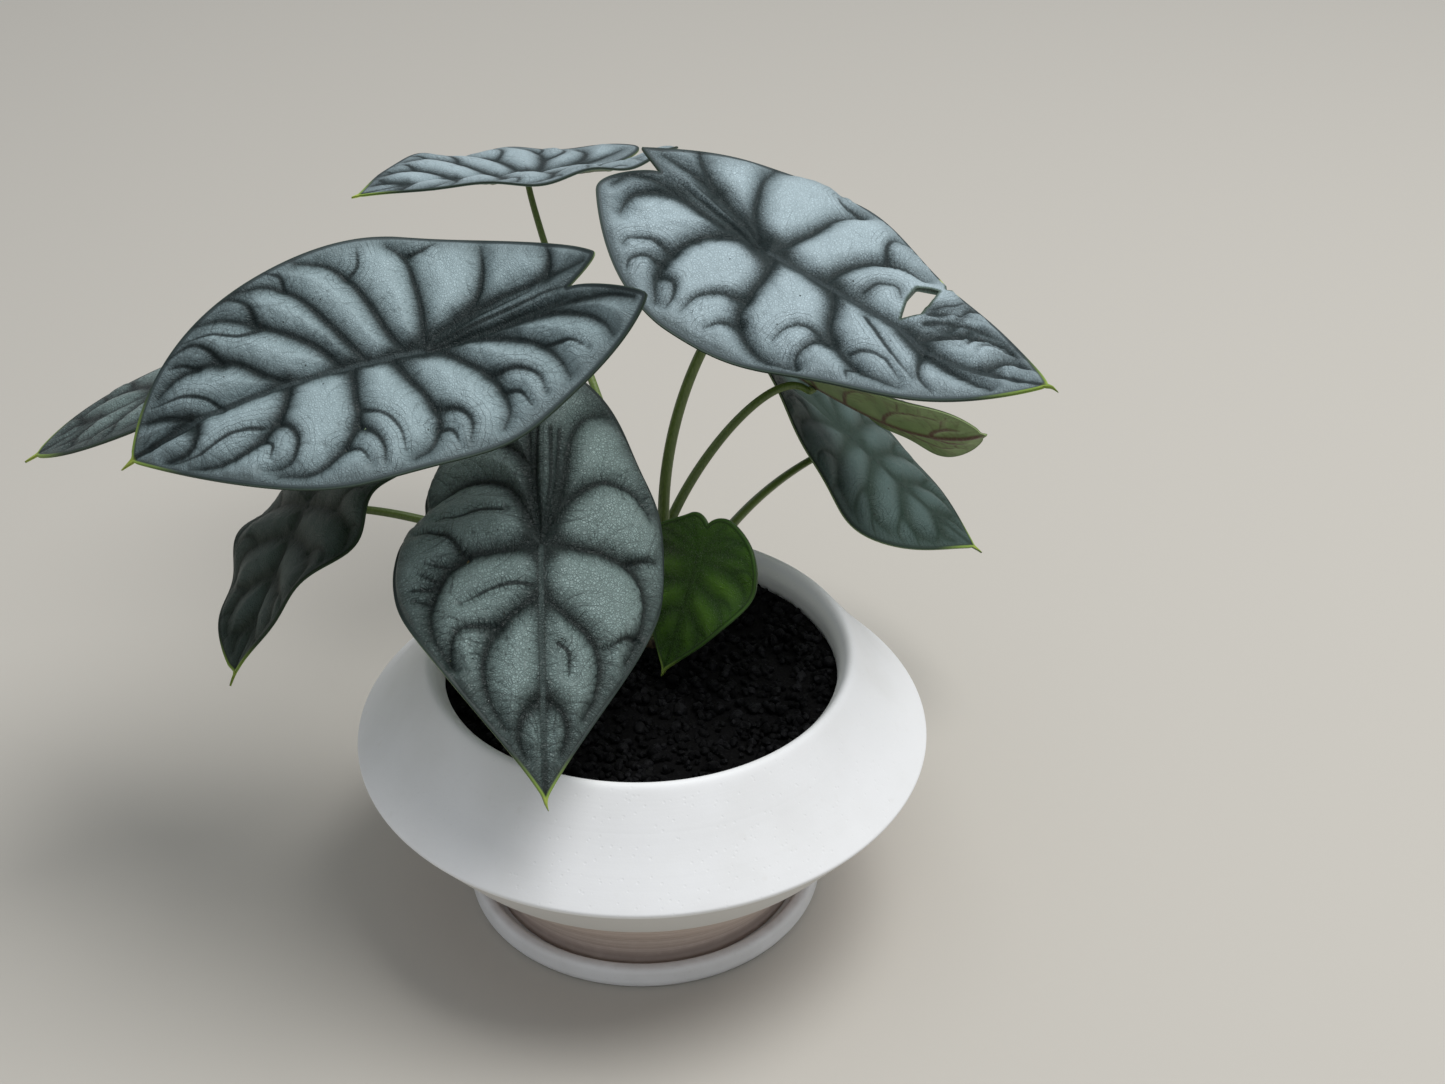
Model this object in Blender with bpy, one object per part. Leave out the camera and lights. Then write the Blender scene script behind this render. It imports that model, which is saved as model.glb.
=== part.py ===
"""A potted alocasia: nine thick shield-shaped leaves on stalks, a short crown, soil, a pot and a saucer.

The values below are in millimetres and degrees, and the scene is in metres with +Z up. The origin is the
centre of the saucer's underside, and -Y is the front.

A blade is drawn flat first, in its own plane: u runs along the midrib towards the tip, v runs across it with
the left side positive, and the stalk joins the underside at (0, 0). The flat shape is then folded and bent.
"""
import math
import random

import bmesh
import bpy
import numpy as np
from mathutils import Euler, Vector
from mathutils.geometry import delaunay_2d_cdt

MM = 0.001
GAP = 0.3                      # clearance between pieces that touch

# saucer
SAUCER_RADIUS = 64.0
SAUCER_HEIGHT = 8.5
SAUCER_FLOOR = 3.5
SAUCER_RIM = 5.0

# pot
FOOT_RADIUS = 55.0
NECK_RADIUS, NECK_TOP = 84.0, 46.0      # where the bare clay neck meets the glaze
EDGE_RADIUS, EDGE_HEIGHT = 100.0, 67.0  # the sharp widest edge
LIP_RADIUS, LIP_HEIGHT = 71.0, 99.0
COLLAR_RADIUS = 67.8                    # inside of the mouth
WALL = 6.0
POT_FLOOR = 9.5
DRAIN_RADIUS = 6.0
POT_SEGMENTS = 56

# soil
SOIL_TOP = 88.0
SOIL_GRAIN = 0.9               # height of its lumps
SOIL_SEGMENTS = 40

# crown, the short stem that every stalk rises from
CROWN_X, CROWN_Y = 6.0, 26.0
CROWN_RADIUS = 12.0
CROWN_TOP = 92.2
CROWN_DEPTH = 25.0             # how far it goes into the soil
BUD_RADIUS, BUD_HEIGHT = 3.0, 13.0
STALK_RING = 8.0               # the stalks' bases stand on this circle

# blade, shared by all leaves
THICKNESS = 0.8
RIB_DEPTH = 0.7                # ribs stand out below by this
RIB_WIDTH = 1.4
RIB_REACH = 6.0                # a panel rises to its full height this far from a rib
MARGIN_REACH = 4.0
WAVES = 1.7                    # waves of the margin from the junction to the tip
MUCRO_WIDTH = 0.9              # half the width of the blade's tip where the mucro starts

# Each leaf: where its stalk joins it, which way it points, its outline, its bends and its ribs. Pairs are
# (left, right). A dent is (side, place along u, how far out, half its length). A rib is a smooth curve
# through the places given, and each side's first one runs into the back lobe. The mucro, the fine point at
# the tip, goes (ahead, aside). The tuck says how far a lobe's inner side stays round before the notch.
LEAVES = {
    "leaf_left": dict(
        junction=(-66.1, -5.7, 218.8), heading=191.6, pitch=6.4, roll=-11.7,
        length=101.6, notch=50.3, half_width=(45.7, 46.5), widest=(22.3, 11.0),
        lobe=(72.0, 62.7), lobe_out=(24.0, 5.2), lobe_lean=(44, 31), tip_angle=47, front=0.42, back=0.40,
        droop=(15, 24, -41), fold=(-4, 19), fold_gain=(6, 10), curl=(11, 7), twist=-3, side_bend=-8,
        wave=0.4, wave_phase=(11, 5), quilt=1.7, mucro=(5, 0), tuck=(0.1, 0.6), dents=((0, -20, 2.0, 14),),
        spacing=6.0, hex=9.0,
        ribs_left=(
            ((0, 0), (-15, 0), (-30, 1), (-43, 3), (-53, 8), (-62, 14), (-68, 21)),
            ((-30, 1), (-41, 5), (-51, 13), (-56, 21), (-57, 27)),
            ((-15, 0), (-26, 6), (-35, 14), (-39, 23), (-40, 31)),
            ((-4, 0), (-11, 8), (-17, 16), (-20, 25), (-20, 33), (-17, 38)),
            ((10, 0), (6, 10), (2, 19), (0, 29), (4, 38), (10, 41)),
            ((22, 0), (23, 12), (24, 22), (30, 31), (41, 37), (52, 34)),
            ((42, 0), (45, 9), (51, 16), (60, 21), (70, 22), (80, 18)),
            ((75, 0), (75, 6), (79, 11), (88, 10))),
        ribs_right=(
            ((0, 0), (-6, -5), (-15, -8), (-28, -10), (-45, -8), (-58, -5)),
            ((-45, -8), (-48, -13), (-49, -18)),
            ((-15, -8), (-22, -14), (-26, -22), (-28, -31)),
            ((-1, 0), (-3, -14), (-3, -25), (-2, -36), (3, -42)),
            ((5, 0), (9, -10), (12, -20), (16, -30), (22, -38), (31, -42)),
            ((17, 0), (22, -10), (27, -20), (33, -30), (41, -36), (50, -37)),
            ((25, 0), (30, -9), (37, -16), (46, -23), (56, -29), (64, -30)),
            ((42, 0), (49, -6), (56, -13), (65, -16), (74, -16), (83, -13)),
            ((75, 0), (82, -5), (91, -8))),
        stalk_slot=52, stalk_rise=(-2, 62, 172), stalk_reach=(-38, 38, 219), stalk_top=1.5),
    "leaf_right": dict(
        junction=(44.3, 43.5, 227.0), heading=-42.4, pitch=8.6, roll=8.7,
        length=121.0, notch=49.2, half_width=(48.0, 48.3), widest=(-7.2, -4.0),
        lobe=(59.6, 57.2), lobe_out=(2.2, 22.0), lobe_lean=(36, 48), tip_angle=40, front=0.20, back=0.32,
        droop=(10, -40, -25), fold=(0, -2), fold_gain=(-1, -5), curl=(16, 10), twist=-9, side_bend=-12,
        wave=2.4, wave_phase=(12, 153), quilt=1.8, mucro=(7, -3), tuck=(0.6, 0.3), dents=((0, -16, 2.5, 8),),
        spacing=6.0, hex=9.0,
        ribs_left=(
            ((0, 0), (-15, 6), (-30, 9), (-42, 9), (-53, 6)),
            ((-30, 9), (-41, 14), (-47, 18)),
            ((-3, 0), (-14, 10), (-21, 20), (-26, 30), (-27, 38)),
            ((1, 0), (3, 12), (4, 23), (4, 33), (9, 41)),
            ((24, 0), (24, 10), (27, 20), (34, 28), (44, 30)),
            ((66, 0), (70, 6), (76, 12), (86, 16), (96, 13)),
            ((94, 0), (95, 4), (99, 8), (106, 8))),
        ribs_right=(
            ((0, 0), (-20, -1), (-38, -2), (-48, -4), (-54, -9), (-55, -16)),
            ((-38, -2), (-45, -8), (-48, -15), (-46, -22)),
            ((-12, -1), (-19, -8), (-22, -16), (-22, -25), (-19, -34), (-12, -42)),
            ((3, 0), (7, -10), (9, -20), (12, -29), (20, -35), (31, -38), (42, -35)),
            ((28, 0), (34, -7), (39, -15), (48, -21), (60, -24), (74, -22)),
            ((60, 0), (72, -5), (86, -7), (102, -8))),
        stalk_slot=12, stalk_rise=(-3, 34, 148), stalk_reach=(21, 65, 199), stalk_top=1.6,
        nick=((47.5, 36.5), (54.0, 28.0), (54.5, 34.8)),
        tear=((54.2, 3.6), (49.8, 12), (47.6, 20), (53.2, 24.6), (55.4, 19), (58.2, 8.2))),
    "leaf_front": dict(
        junction=(-30.8, -33.8, 164.3), heading=-89.5, pitch=26.4, roll=-4.4,
        length=82.0, notch=54.0, half_width=(48.1, 50.5), widest=(3.0, 0.5),
        lobe=(67.6, 69.4), lobe_out=(15.0, 22.0), lobe_lean=(38, 30), tip_angle=31, front=0.34, back=0.47,
        droop=(31, 2, 9), fold=(-11, -6), fold_gain=(-5, 20), curl=(38, 32), twist=-8, side_bend=2,
        wave=-3.7, wave_phase=(61, -62), quilt=1.9, mucro=(3, 1), spacing=6.0, hex=9.0,
        dents=((0, -42, -2.5, 14), (1, -24, -5.0, 7)),
        ribs_left=(
            ((0, 0), (-14, 5), (-28, 8), (-43, 10), (-52, 15), (-55, 22)),
            ((-4, 1), (-14, 6), (-23, 14), (-28, 23), (-26, 33), (-20, 39)),
            ((-1, 0), (-1, 12), (-1, 24), (2, 34), (12, 39), (25, 37), (37, 31)),
            ((18, 0), (23, 8), (29, 16), (37, 20), (48, 19), (57, 14)),
            ((50, 0), (54, 6), (61, 8), (68, 6))),
        ribs_right=(
            ((0, 0), (-16, -3), (-32, -4), (-48, -5), (-58, -12)),
            ((-32, -4), (-42, -12), (-47, -22), (-46, -31)),
            ((-4, -1), (-16, -6), (-25, -12), (-30, -22), (-30, -32), (-28, -38)),
            ((0, 0), (1, -13), (2, -23), (8, -31), (18, -35), (30, -34), (42, -27)),
            ((17, 0), (22, -7), (29, -14), (39, -18), (50, -17), (60, -12)),
            ((50, 0), (55, -6), (62, -8), (69, -6))),
        stalk_slot=252, stalk_rise=(1, 15, 128), stalk_reach=(-33, -13, 146), stalk_top=1.5),
    "leaf_top": dict(
        junction=(-40.5, 184.9, 193.0), heading=209.1, pitch=-10.0, roll=13.1,
        length=74.8, notch=37.2, half_width=(43.2, 43.7), widest=(5.1, 7.8),
        lobe=(58.2, 56.7), lobe_out=(20.2, 13.4), lobe_lean=(28, 29), tip_angle=37, front=0.48, back=0.47,
        droop=(-1, 8, -12), fold=(12, 13), fold_gain=(-4, -3), curl=(8, 15), twist=-3, side_bend=5,
        wave=-1.8, wave_phase=(-54, 19), mucro=(2, 0),
        stalk_slot=132, stalk_rise=(8, 24, 142), stalk_reach=(-10, 140, 86)),
    "leaf_far_left": dict(
        junction=(-126.6, 40.6, 194.7), heading=186.1, pitch=16.5, roll=9.7,
        length=84.4, notch=37.0, half_width=(39.3, 39.3), widest=(3, 3),
        lobe=(54.7, 54.7), lobe_out=(17, 17), lobe_lean=(29, 29), tip_angle=56, front=0.42, back=0.45,
        droop=(19, -7, 0), fold=(9, 4), fold_gain=(-4, 0), curl=(9, 22), twist=-6, side_bend=-2,
        wave=0.1, wave_phase=(0, 0), mucro=(4, 0),
        stalk_slot=172, stalk_rise=(-12, 33, 191), stalk_reach=(-90, 43, 181)),
    "leaf_low_left": dict(
        junction=(-113.4, 31.4, 140.7), heading=237.4, pitch=37.5, roll=28.1,
        length=63.7, notch=37.4, half_width=(42.0, 41.0), widest=(-3.7, -1.6),
        lobe=(55.1, 55.1), lobe_out=(17, 17), lobe_lean=(29, 29), tip_angle=63, front=0.40, back=0.44,
        droop=(21, -15, 0), fold=(7, 6), fold_gain=(16, 15), curl=(17, 27), twist=2, side_bend=-4.5,
        wave=-4.1, wave_phase=(-35, 118), mucro=(4, 5),
        stalk_slot=212, stalk_rise=(-15, 12, 124), stalk_reach=(-92, 52, 136)),
    "leaf_low_right": dict(
        junction=(81.9, 113.4, 114.7), heading=-26.9, pitch=36.0, roll=-11.2,
        length=65.3, notch=36.2, half_width=(39.9, 40.5), widest=(8.6, 13.9),
        lobe=(53.3, 53.1), lobe_out=(16.5, 15.6), lobe_lean=(29, 31), tip_angle=44, front=0.48, back=0.44,
        droop=(2, -6, -2), fold=(4, 6), fold_gain=(-10, -20), curl=(22, 17), twist=7, side_bend=1.3,
        wave=0.7, wave_phase=(-1, 67), mucro=(3, 0),
        stalk_slot=332, stalk_rise=(20, 20, 133), stalk_reach=(59, 121, 100)),
    "leaf_under_right": dict(
        junction=(64.4, 77.4, 158.0), heading=-43.5, pitch=6.5, roll=-36.7,
        length=75.5, notch=32.0, half_width=(34.2, 33.7), widest=(4.1, 3.9),
        lobe=(47.2, 47.2), lobe_out=(14.6, 14.6), lobe_lean=(29, 29), tip_angle=58, front=0.44, back=0.45,
        droop=(6, -32, 0), fold=(18, 19), fold_gain=(-5, 0), curl=(31, 35), twist=-19, side_bend=-10.4,
        wave=-1.5, wave_phase=(6, 22), mucro=(1, 0),
        stalk_slot=92, stalk_rise=(-4, 49, 120), stalk_reach=(61, 93, 183)),
    "leaf_small": dict(
        junction=(19.8, -2.1, 137.3), heading=-126.0, pitch=63.1, roll=7.7,
        length=43.6, notch=11.5, half_width=(24.6, 24.7), widest=(-0.5, 1.9),
        lobe=(14.8, 13.1), lobe_out=(10.6, 7.9), lobe_lean=(22, 36), tip_angle=36, front=0.40, back=0.45,
        droop=(14, -2, -1), fold=(6, 5), fold_gain=(1, 0), curl=(20, 20), twist=3, side_bend=-6.3,
        wave=-2.1, wave_phase=(-29, -1), quilt=0.7, mucro=(2, 0), spacing=5.0, hex=7.0,
        stalk_slot=292, stalk_rise=(10, 17, 111), stalk_reach=(30, 9, 136)),
}
COMMON = dict(quilt=1.2, spacing=7.5, hex=11.0, stalk_top=1.2, nick=None, tear=None, dents=(),
              tuck=(0.6, 0.6))
# ribs of a leaf that gives none of its own: u is a share of its length, or of its lobe behind the junction,
# and v is a share of its half width
SHARED_RIBS = (
    ((0.0, 0.0), (-0.35, 0.10), (-0.65, 0.19), (-0.88, 0.28)),
    ((-0.38, 0.11), (-0.55, 0.26), (-0.65, 0.44), (-0.65, 0.60)),
    ((-0.06, 0.02), (-0.20, 0.22), (-0.31, 0.46), (-0.34, 0.70), (-0.26, 0.84)),
    ((0.02, 0.0), (0.02, 0.30), (0.04, 0.60), (0.13, 0.82), (0.27, 0.86)),
    ((0.20, 0.0), (0.23, 0.24), (0.29, 0.48), (0.40, 0.66), (0.53, 0.66)),
    ((0.43, 0.0), (0.47, 0.18), (0.55, 0.34), (0.67, 0.39), (0.78, 0.32)),
    ((0.70, 0.0), (0.74, 0.10), (0.81, 0.15), (0.88, 0.12)))

STALK_BASE = 2.3               # radius of a stalk where it leaves the crown
STALK_SQUARE = 8.0             # the last stretch of a stalk meets the blade square
STALK_SEAT = 0.4               # clearance between a stalk and the blade's underside
STALK_POINTS = 17


# Helpers

def polyline_distance(points, line):
    """Distance from each point to a chain of segments, both in the blade's plane."""
    start, end = line[:-1], line[1:]
    along = end - start
    share = ((points[:, None] - start) * along).sum(-1) / np.maximum((along ** 2).sum(-1), 1e-9)
    nearest = start + np.clip(share, 0, 1)[..., None] * along
    return np.linalg.norm(points[:, None] - nearest, axis=-1).min(1)


def bezier(controls, count):
    """A Bezier curve of any degree."""
    controls = np.array(controls, float)
    degree = len(controls) - 1
    t = np.linspace(0, 1, count)[:, None]
    shares = [math.comb(degree, k) * (1 - t) ** (degree - k) * t ** k for k in range(degree + 1)]
    return sum(share * control for share, control in zip(shares, controls))


def even(line, spacing):
    """The same curve with its points about one spacing apart."""
    run = np.concatenate([[0], np.cumsum(np.linalg.norm(np.diff(line, axis=0), axis=1))])
    stops = np.linspace(0, run[-1], max(2, round(run[-1] / spacing) + 1))
    return np.stack([np.interp(stops, run, line[:, k]) for k in range(2)], 1)


def smooth(places, spacing):
    """A smooth curve through a few places, in the Catmull-Rom way, its points about one spacing apart."""
    places = np.array(places, float)
    places = np.concatenate([2 * places[:1] - places[1:2], places, 2 * places[-1:] - places[-2:-1]])
    t = np.linspace(0, 1, 8, endpoint=False)[:, None]
    parts = [b + 0.5 * t * (c - a + t * (2 * a - 5 * b + 4 * c - d + t * (3 * b - a - 3 * c + d)))
             for a, b, c, d in zip(places, places[1:], places[2:], places[3:])]
    return even(np.concatenate([*parts, places[-2:-1]]), spacing)


def inside(points, polygon):
    """Which points lie in a polygon."""
    x, y = points[:, 0:1], points[:, 1:2]
    x0, y0 = polygon.T
    x1, y1 = np.roll(polygon, -1, axis=0).T
    crosses = (y0 > y) != (y1 > y)
    at = x0 + (y - y0) * (x1 - x0) / np.where(y1 == y0, 1e-12, y1 - y0)
    return (crosses & (x < at)).sum(1) % 2 == 1


def add_material(obj, color, roughness, metallic=0.0):
    material = bpy.data.materials.new(obj.name)
    material.use_nodes = True
    shader = material.node_tree.nodes["Principled BSDF"]
    shader.inputs["Base Color"].default_value = (*color, 1.0)
    shader.inputs["Roughness"].default_value = roughness
    shader.inputs["Metallic"].default_value = metallic
    obj.data.materials.append(material)


def add_object(name, data, location=(0, 0, 0)):
    obj = bpy.data.objects.new(name, data)
    obj.location = Vector(location) * MM
    bpy.context.collection.objects.link(obj)
    return obj


def turned(name, profile, segments, location=(0, 0, 0)):
    """A piece turned about its own axis from (radius, height) points that go once around its section."""
    mesh = bpy.data.meshes.new(name)
    shape = bmesh.new()
    points = [shape.verts.new((r * MM, 0, z * MM)) for r, z in profile]
    edges = [shape.edges.new(pair) for pair in zip(points, points[1:])]
    if profile[0][0] > 0:
        edges.append(shape.edges.new((points[-1], points[0])))
    bmesh.ops.spin(shape, geom=edges, cent=(0, 0, 0), axis=(0, 0, 1), angle=2 * math.pi, steps=segments)
    bmesh.ops.remove_doubles(shape, verts=shape.verts, dist=1e-6)
    bmesh.ops.recalc_face_normals(shape, faces=shape.faces)
    shape.to_mesh(mesh)
    shape.free()
    mesh.shade_smooth()
    mesh.set_sharp_from_angle(angle=math.radians(35))
    return add_object(name, mesh, location)


# The blade in its own plane

def half_outline(leaf, side):
    """From the mucro round the widest place and the lobe to the notch, on side 0, the left, or side 1."""
    wide_u, wide_v = leaf["widest"][side], leaf["half_width"][side]
    back_u, back_v = leaf["lobe"][side], leaf["lobe_out"][side]
    tip_slope, lean = math.radians(leaf["tip_angle"]), math.radians(leaf["lobe_lean"][side])
    tip = np.array([leaf["length"], 0.0])
    wide = np.array([wide_u, wide_v])
    lobe = np.array([-back_u, back_v])
    notch = np.array([-leaf["notch"], 0.0])
    ahead, behind = leaf["length"] - wide_u, wide_u + back_u
    outward = np.array([math.sin(lean), math.cos(lean)])
    forward = np.array([1.0, 0.0])
    edges = (
        (tip, tip + 0.33 * ahead * np.array([-math.cos(tip_slope), math.sin(tip_slope)]),
         wide + leaf["front"] * ahead * forward, wide),
        (wide, wide - leaf["back"] * behind * forward, lobe + 0.45 * (wide_v - back_v) * outward, lobe),
        (lobe, lobe - leaf["tuck"][side] * back_v * outward,
         notch + 0.35 * (back_u - leaf["notch"]) * np.array([-math.cos(0.3), math.sin(0.3)]), notch),
    )
    parts = [even(bezier(edge, 60), leaf["spacing"]) for edge in edges]
    ahead, aside = leaf["mucro"]
    mucro = [(leaf["length"] + ahead, aside if side == 0 else -aside), (leaf["length"] - 1.0, MUCRO_WIDTH)]
    line = np.concatenate([mucro, parts[0][1:], parts[1][1:], parts[2][1:]])
    for dent_side, place, out, reach in leaf["dents"]:
        if dent_side == side:
            bell = np.exp(-((line[:, 0] - place) / reach) ** 2)
            line[:, 1] += out * bell * np.clip(line[:, 1] / wide_v, 0, 1)
    return line * (1, 1 if side == 0 else -1)


def outline(leaf):
    """The margin all the way round, with the small nick of a torn leaf cut into its left side."""
    left, right = half_outline(leaf, 0), half_outline(leaf, 1)
    if leaf["nick"]:
        nick = np.array(leaf["nick"], float)
        front = left[(left[:, 0] > nick[-1, 0]) & (left[:, 1] >= 0)]
        rest = left[left[:, 0] < nick[0, 0]]
        left = np.concatenate([front, nick[::-1], rest])
    return np.concatenate([left, right[::-1][1:-1]])


def ribs(leaf):
    """The midrib, then on each side the rib of the back lobe and the side ribs."""
    count = round(leaf["length"] / leaf["spacing"])
    lines = [np.stack([np.linspace(0, leaf["length"] - 3, count), np.zeros(count)], 1)]
    for side, key in ((0, "ribs_left"), (1, "ribs_right")):
        routes = leaf.get(key)
        if routes is None:
            out = leaf["half_width"][side] * (1 if side == 0 else -1)
            routes = [[(u * (leaf["length"] if u > 0 else leaf["lobe"][side]), v * out) for u, v in route]
                      for route in SHARED_RIBS]
        lines += [smooth(route, leaf["spacing"]) for route in routes]
    return lines


def shaped(leaf, points):
    """Points of the blade's plane carried onto the bent blade, about the junction."""
    u, v = points[:, 0], points[:, 1]
    length, lobe = leaf["length"], sum(leaf["lobe"]) / 2
    sag, tip_sag, back_sag = (math.radians(angle) for angle in leaf["droop"])
    runs = np.linspace(-1.4 * lobe, 1.15 * length, 121)
    ahead, behind = np.clip(runs / length, 0, None), np.clip(-runs / lobe, 0, None)
    slope = sag * ahead + tip_sag * ahead ** 2 - back_sag * behind
    step = runs[1] - runs[0]
    rib_x = np.concatenate([[0], np.cumsum((np.cos(slope[1:]) + np.cos(slope[:-1])) / 2 * step)])
    rib_z = np.concatenate([[0], np.cumsum(-(np.sin(slope[1:]) + np.sin(slope[:-1])) / 2 * step)])
    rib_x -= np.interp(0, runs, rib_x)
    rib_z -= np.interp(0, runs, rib_z)
    slope = np.interp(u, runs, slope)

    left = v >= 0
    half_width = np.where(left, *leaf["half_width"])
    share = np.clip(u / length, -1, 1)
    fold = np.radians(np.where(left, *leaf["fold"]) + np.where(left, *leaf["fold_gain"]) * share)
    half_curl = 0.5 * np.radians(np.where(left, *leaf["curl"])) * np.abs(v) / half_width
    chord = np.abs(v) * np.sinc(half_curl / math.pi)
    y = np.sign(v) * chord * np.cos(fold - half_curl)
    phase = np.radians(np.where(left, *leaf["wave_phase"]))
    z = chord * np.sin(fold - half_curl)
    z += leaf["wave"] * (v / half_width) ** 2 * np.sin(2 * math.pi * WAVES * u / length + phase)
    y += leaf["side_bend"] * np.clip(u / length, 0, 2) ** 2
    twist = math.radians(leaf["twist"]) * share
    y, z = y * np.cos(twist) - z * np.sin(twist), y * np.sin(twist) + z * np.cos(twist)
    return np.stack([np.interp(u, runs, rib_x) + np.sin(slope) * z, y,
                     np.interp(u, runs, rib_z) + np.cos(slope) * z], 1)


def blade_faces(leaf):
    """Both faces of the blade as points, and the triangles that they share."""
    margin, lines = outline(leaf), ribs(leaf)
    loops = [margin]
    if leaf["tear"]:
        loops.append(even(np.array(leaf["tear"] + leaf["tear"][:1], float), leaf["spacing"])[:-1])
    closed = [np.concatenate([loop, loop[:1]]) for loop in loops]
    row = leaf["hex"] * math.sqrt(3) / 2
    lattice = np.array([(i * leaf["hex"] + (j % 2) * leaf["hex"] / 2, j * row)
                        for i in range(-14, 22) for j in range(-10, 11)])
    lattice = lattice[inside(lattice, margin)]
    nearest = np.min([polyline_distance(lattice, line) for line in lines + closed], axis=0)
    lattice = lattice[nearest > 0.4 * leaf["hex"]]

    points, edges = [], []
    for line, is_loop in [(loop, True) for loop in loops] + [(line, False) for line in lines]:
        first = len(points)
        points += list(line)
        edges += [(first + k, first + k + 1) for k in range(len(line) - 1)]
        if is_loop:
            edges.append((len(points) - 1, first))
    points += list(lattice)
    flat, _, triangles, *_ = delaunay_2d_cdt([Vector(p) for p in points], edges, [], 1, 0.3)
    flat = np.array([tuple(p) for p in flat])
    triangles = np.array(triangles)
    centres = flat[triangles].mean(1)
    keep = inside(centres, margin)
    for loop in loops[1:]:
        keep &= ~inside(centres, loop)
    triangles = triangles[keep]
    a, b, c = (flat[triangles[:, k]] for k in range(3))
    clockwise = np.cross(b - a, c - a) < 0
    triangles[clockwise] = triangles[clockwise][:, ::-1]

    to_rib = np.min([polyline_distance(flat, line) for line in lines], axis=0)
    to_margin = np.min([polyline_distance(flat, loop) for loop in closed], axis=0)
    inner = 1 - np.exp(-(to_margin / MARGIN_REACH) ** 2)
    height = leaf["quilt"] * (1 - np.exp(-(to_rib / RIB_REACH) ** 2)) * inner
    depth = THICKNESS + RIB_DEPTH * np.exp(-(to_rib / RIB_WIDTH) ** 2) * inner
    along = shaped(leaf, flat + (0.5, 0)) - shaped(leaf, flat - (0.5, 0))
    across = shaped(leaf, flat + (0, 0.5)) - shaped(leaf, flat - (0, 0.5))
    normal = np.cross(along, across)
    normal /= np.linalg.norm(normal, axis=1)[:, None]
    upper = shaped(leaf, flat) + normal * height[:, None]
    return upper, upper - normal * depth[:, None], triangles


def add_blade(name, leaf, color, roughness):
    upper, lower, triangles = blade_faces(leaf)
    count = len(upper)
    faces = [tuple(t) for t in triangles] + [tuple(t[::-1] + count) for t in triangles]
    sides = {(int(a), int(b)) for t in triangles for a, b in zip(t, np.roll(t, -1))}
    for a, b in sides:
        if (b, a) not in sides:
            faces += [(a, a + count, b + count), (a, b + count, b)]
    mesh = bpy.data.meshes.new(name)
    mesh.from_pydata(np.concatenate([upper, lower]) * MM, [], faces)
    mesh.shade_smooth()
    mesh.set_sharp_from_angle(angle=math.radians(50))
    obj = add_object(name, mesh, leaf["junction"])
    obj.rotation_euler = [math.radians(leaf[key]) for key in ("roll", "pitch", "heading")]
    add_material(obj, color, roughness)


# The stalks

def add_stalk(name, leaf, color):
    """A tapering tube from the crown's shoulder to the blade's underside, just clear of both."""
    turn = Euler([math.radians(leaf[key]) for key in ("roll", "pitch", "heading")]).to_matrix()
    junction, up = np.array(leaf["junction"]), np.array(turn.col[2])
    slot = math.radians(leaf["stalk_slot"])
    foot = (CROWN_X + STALK_RING * math.cos(slot), CROWN_Y + STALK_RING * math.sin(slot), CROWN_TOP + GAP)
    end = junction - up * (THICKNESS + RIB_DEPTH + STALK_SEAT)
    route = bezier((foot, leaf["stalk_rise"], leaf["stalk_reach"], end - up * STALK_SQUARE, end), 241)
    stops = 120 - 120 * np.cos(np.linspace(0, math.pi, STALK_POINTS))
    curve = bpy.data.curves.new(name, "CURVE")
    curve.dimensions = "3D"
    curve.twist_mode = "MINIMUM"
    curve.bevel_depth = MM
    curve.bevel_resolution = 2
    curve.use_fill_caps = True
    spline = curve.splines.new("POLY")
    spline.points.add(STALK_POINTS - 1)
    places = [route[round(stop)] for stop in stops]
    places[1][:2] = foot[:2]    # the base stands flat on the crown
    for point, place, stop in zip(spline.points, places, stops):
        point.co = (*(Vector(place) * MM), 1.0)
        point.radius = STALK_BASE + (leaf["stalk_top"] - STALK_BASE) * (stop / 240) ** 0.6
    add_material(add_object(name, curve), color, 0.45)


# Build

for obj in list(bpy.data.objects):
    bpy.data.objects.remove(obj, do_unlink=True)

rim_inside = SAUCER_RADIUS - SAUCER_RIM
saucer = turned("saucer", (
    (0, 0),
    (SAUCER_RADIUS - 2, 0),
    (SAUCER_RADIUS - 0.4, 0.7),
    (SAUCER_RADIUS, 2.2),
    (SAUCER_RADIUS - 0.2, SAUCER_HEIGHT - 2.2),
    (SAUCER_RADIUS - 1.2, SAUCER_HEIGHT - 0.5),
    (SAUCER_RADIUS - 2.5, SAUCER_HEIGHT),
    (rim_inside + 1.0, SAUCER_HEIGHT - 0.6),
    (rim_inside, SAUCER_HEIGHT - 2.2),
    (rim_inside - 0.5, SAUCER_FLOOR + 0.6),
    (rim_inside - 1.5, SAUCER_FLOOR),
    (0, SAUCER_FLOOR)), POT_SEGMENTS)
add_material(saucer, (0.70, 0.69, 0.66), 0.45)

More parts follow.
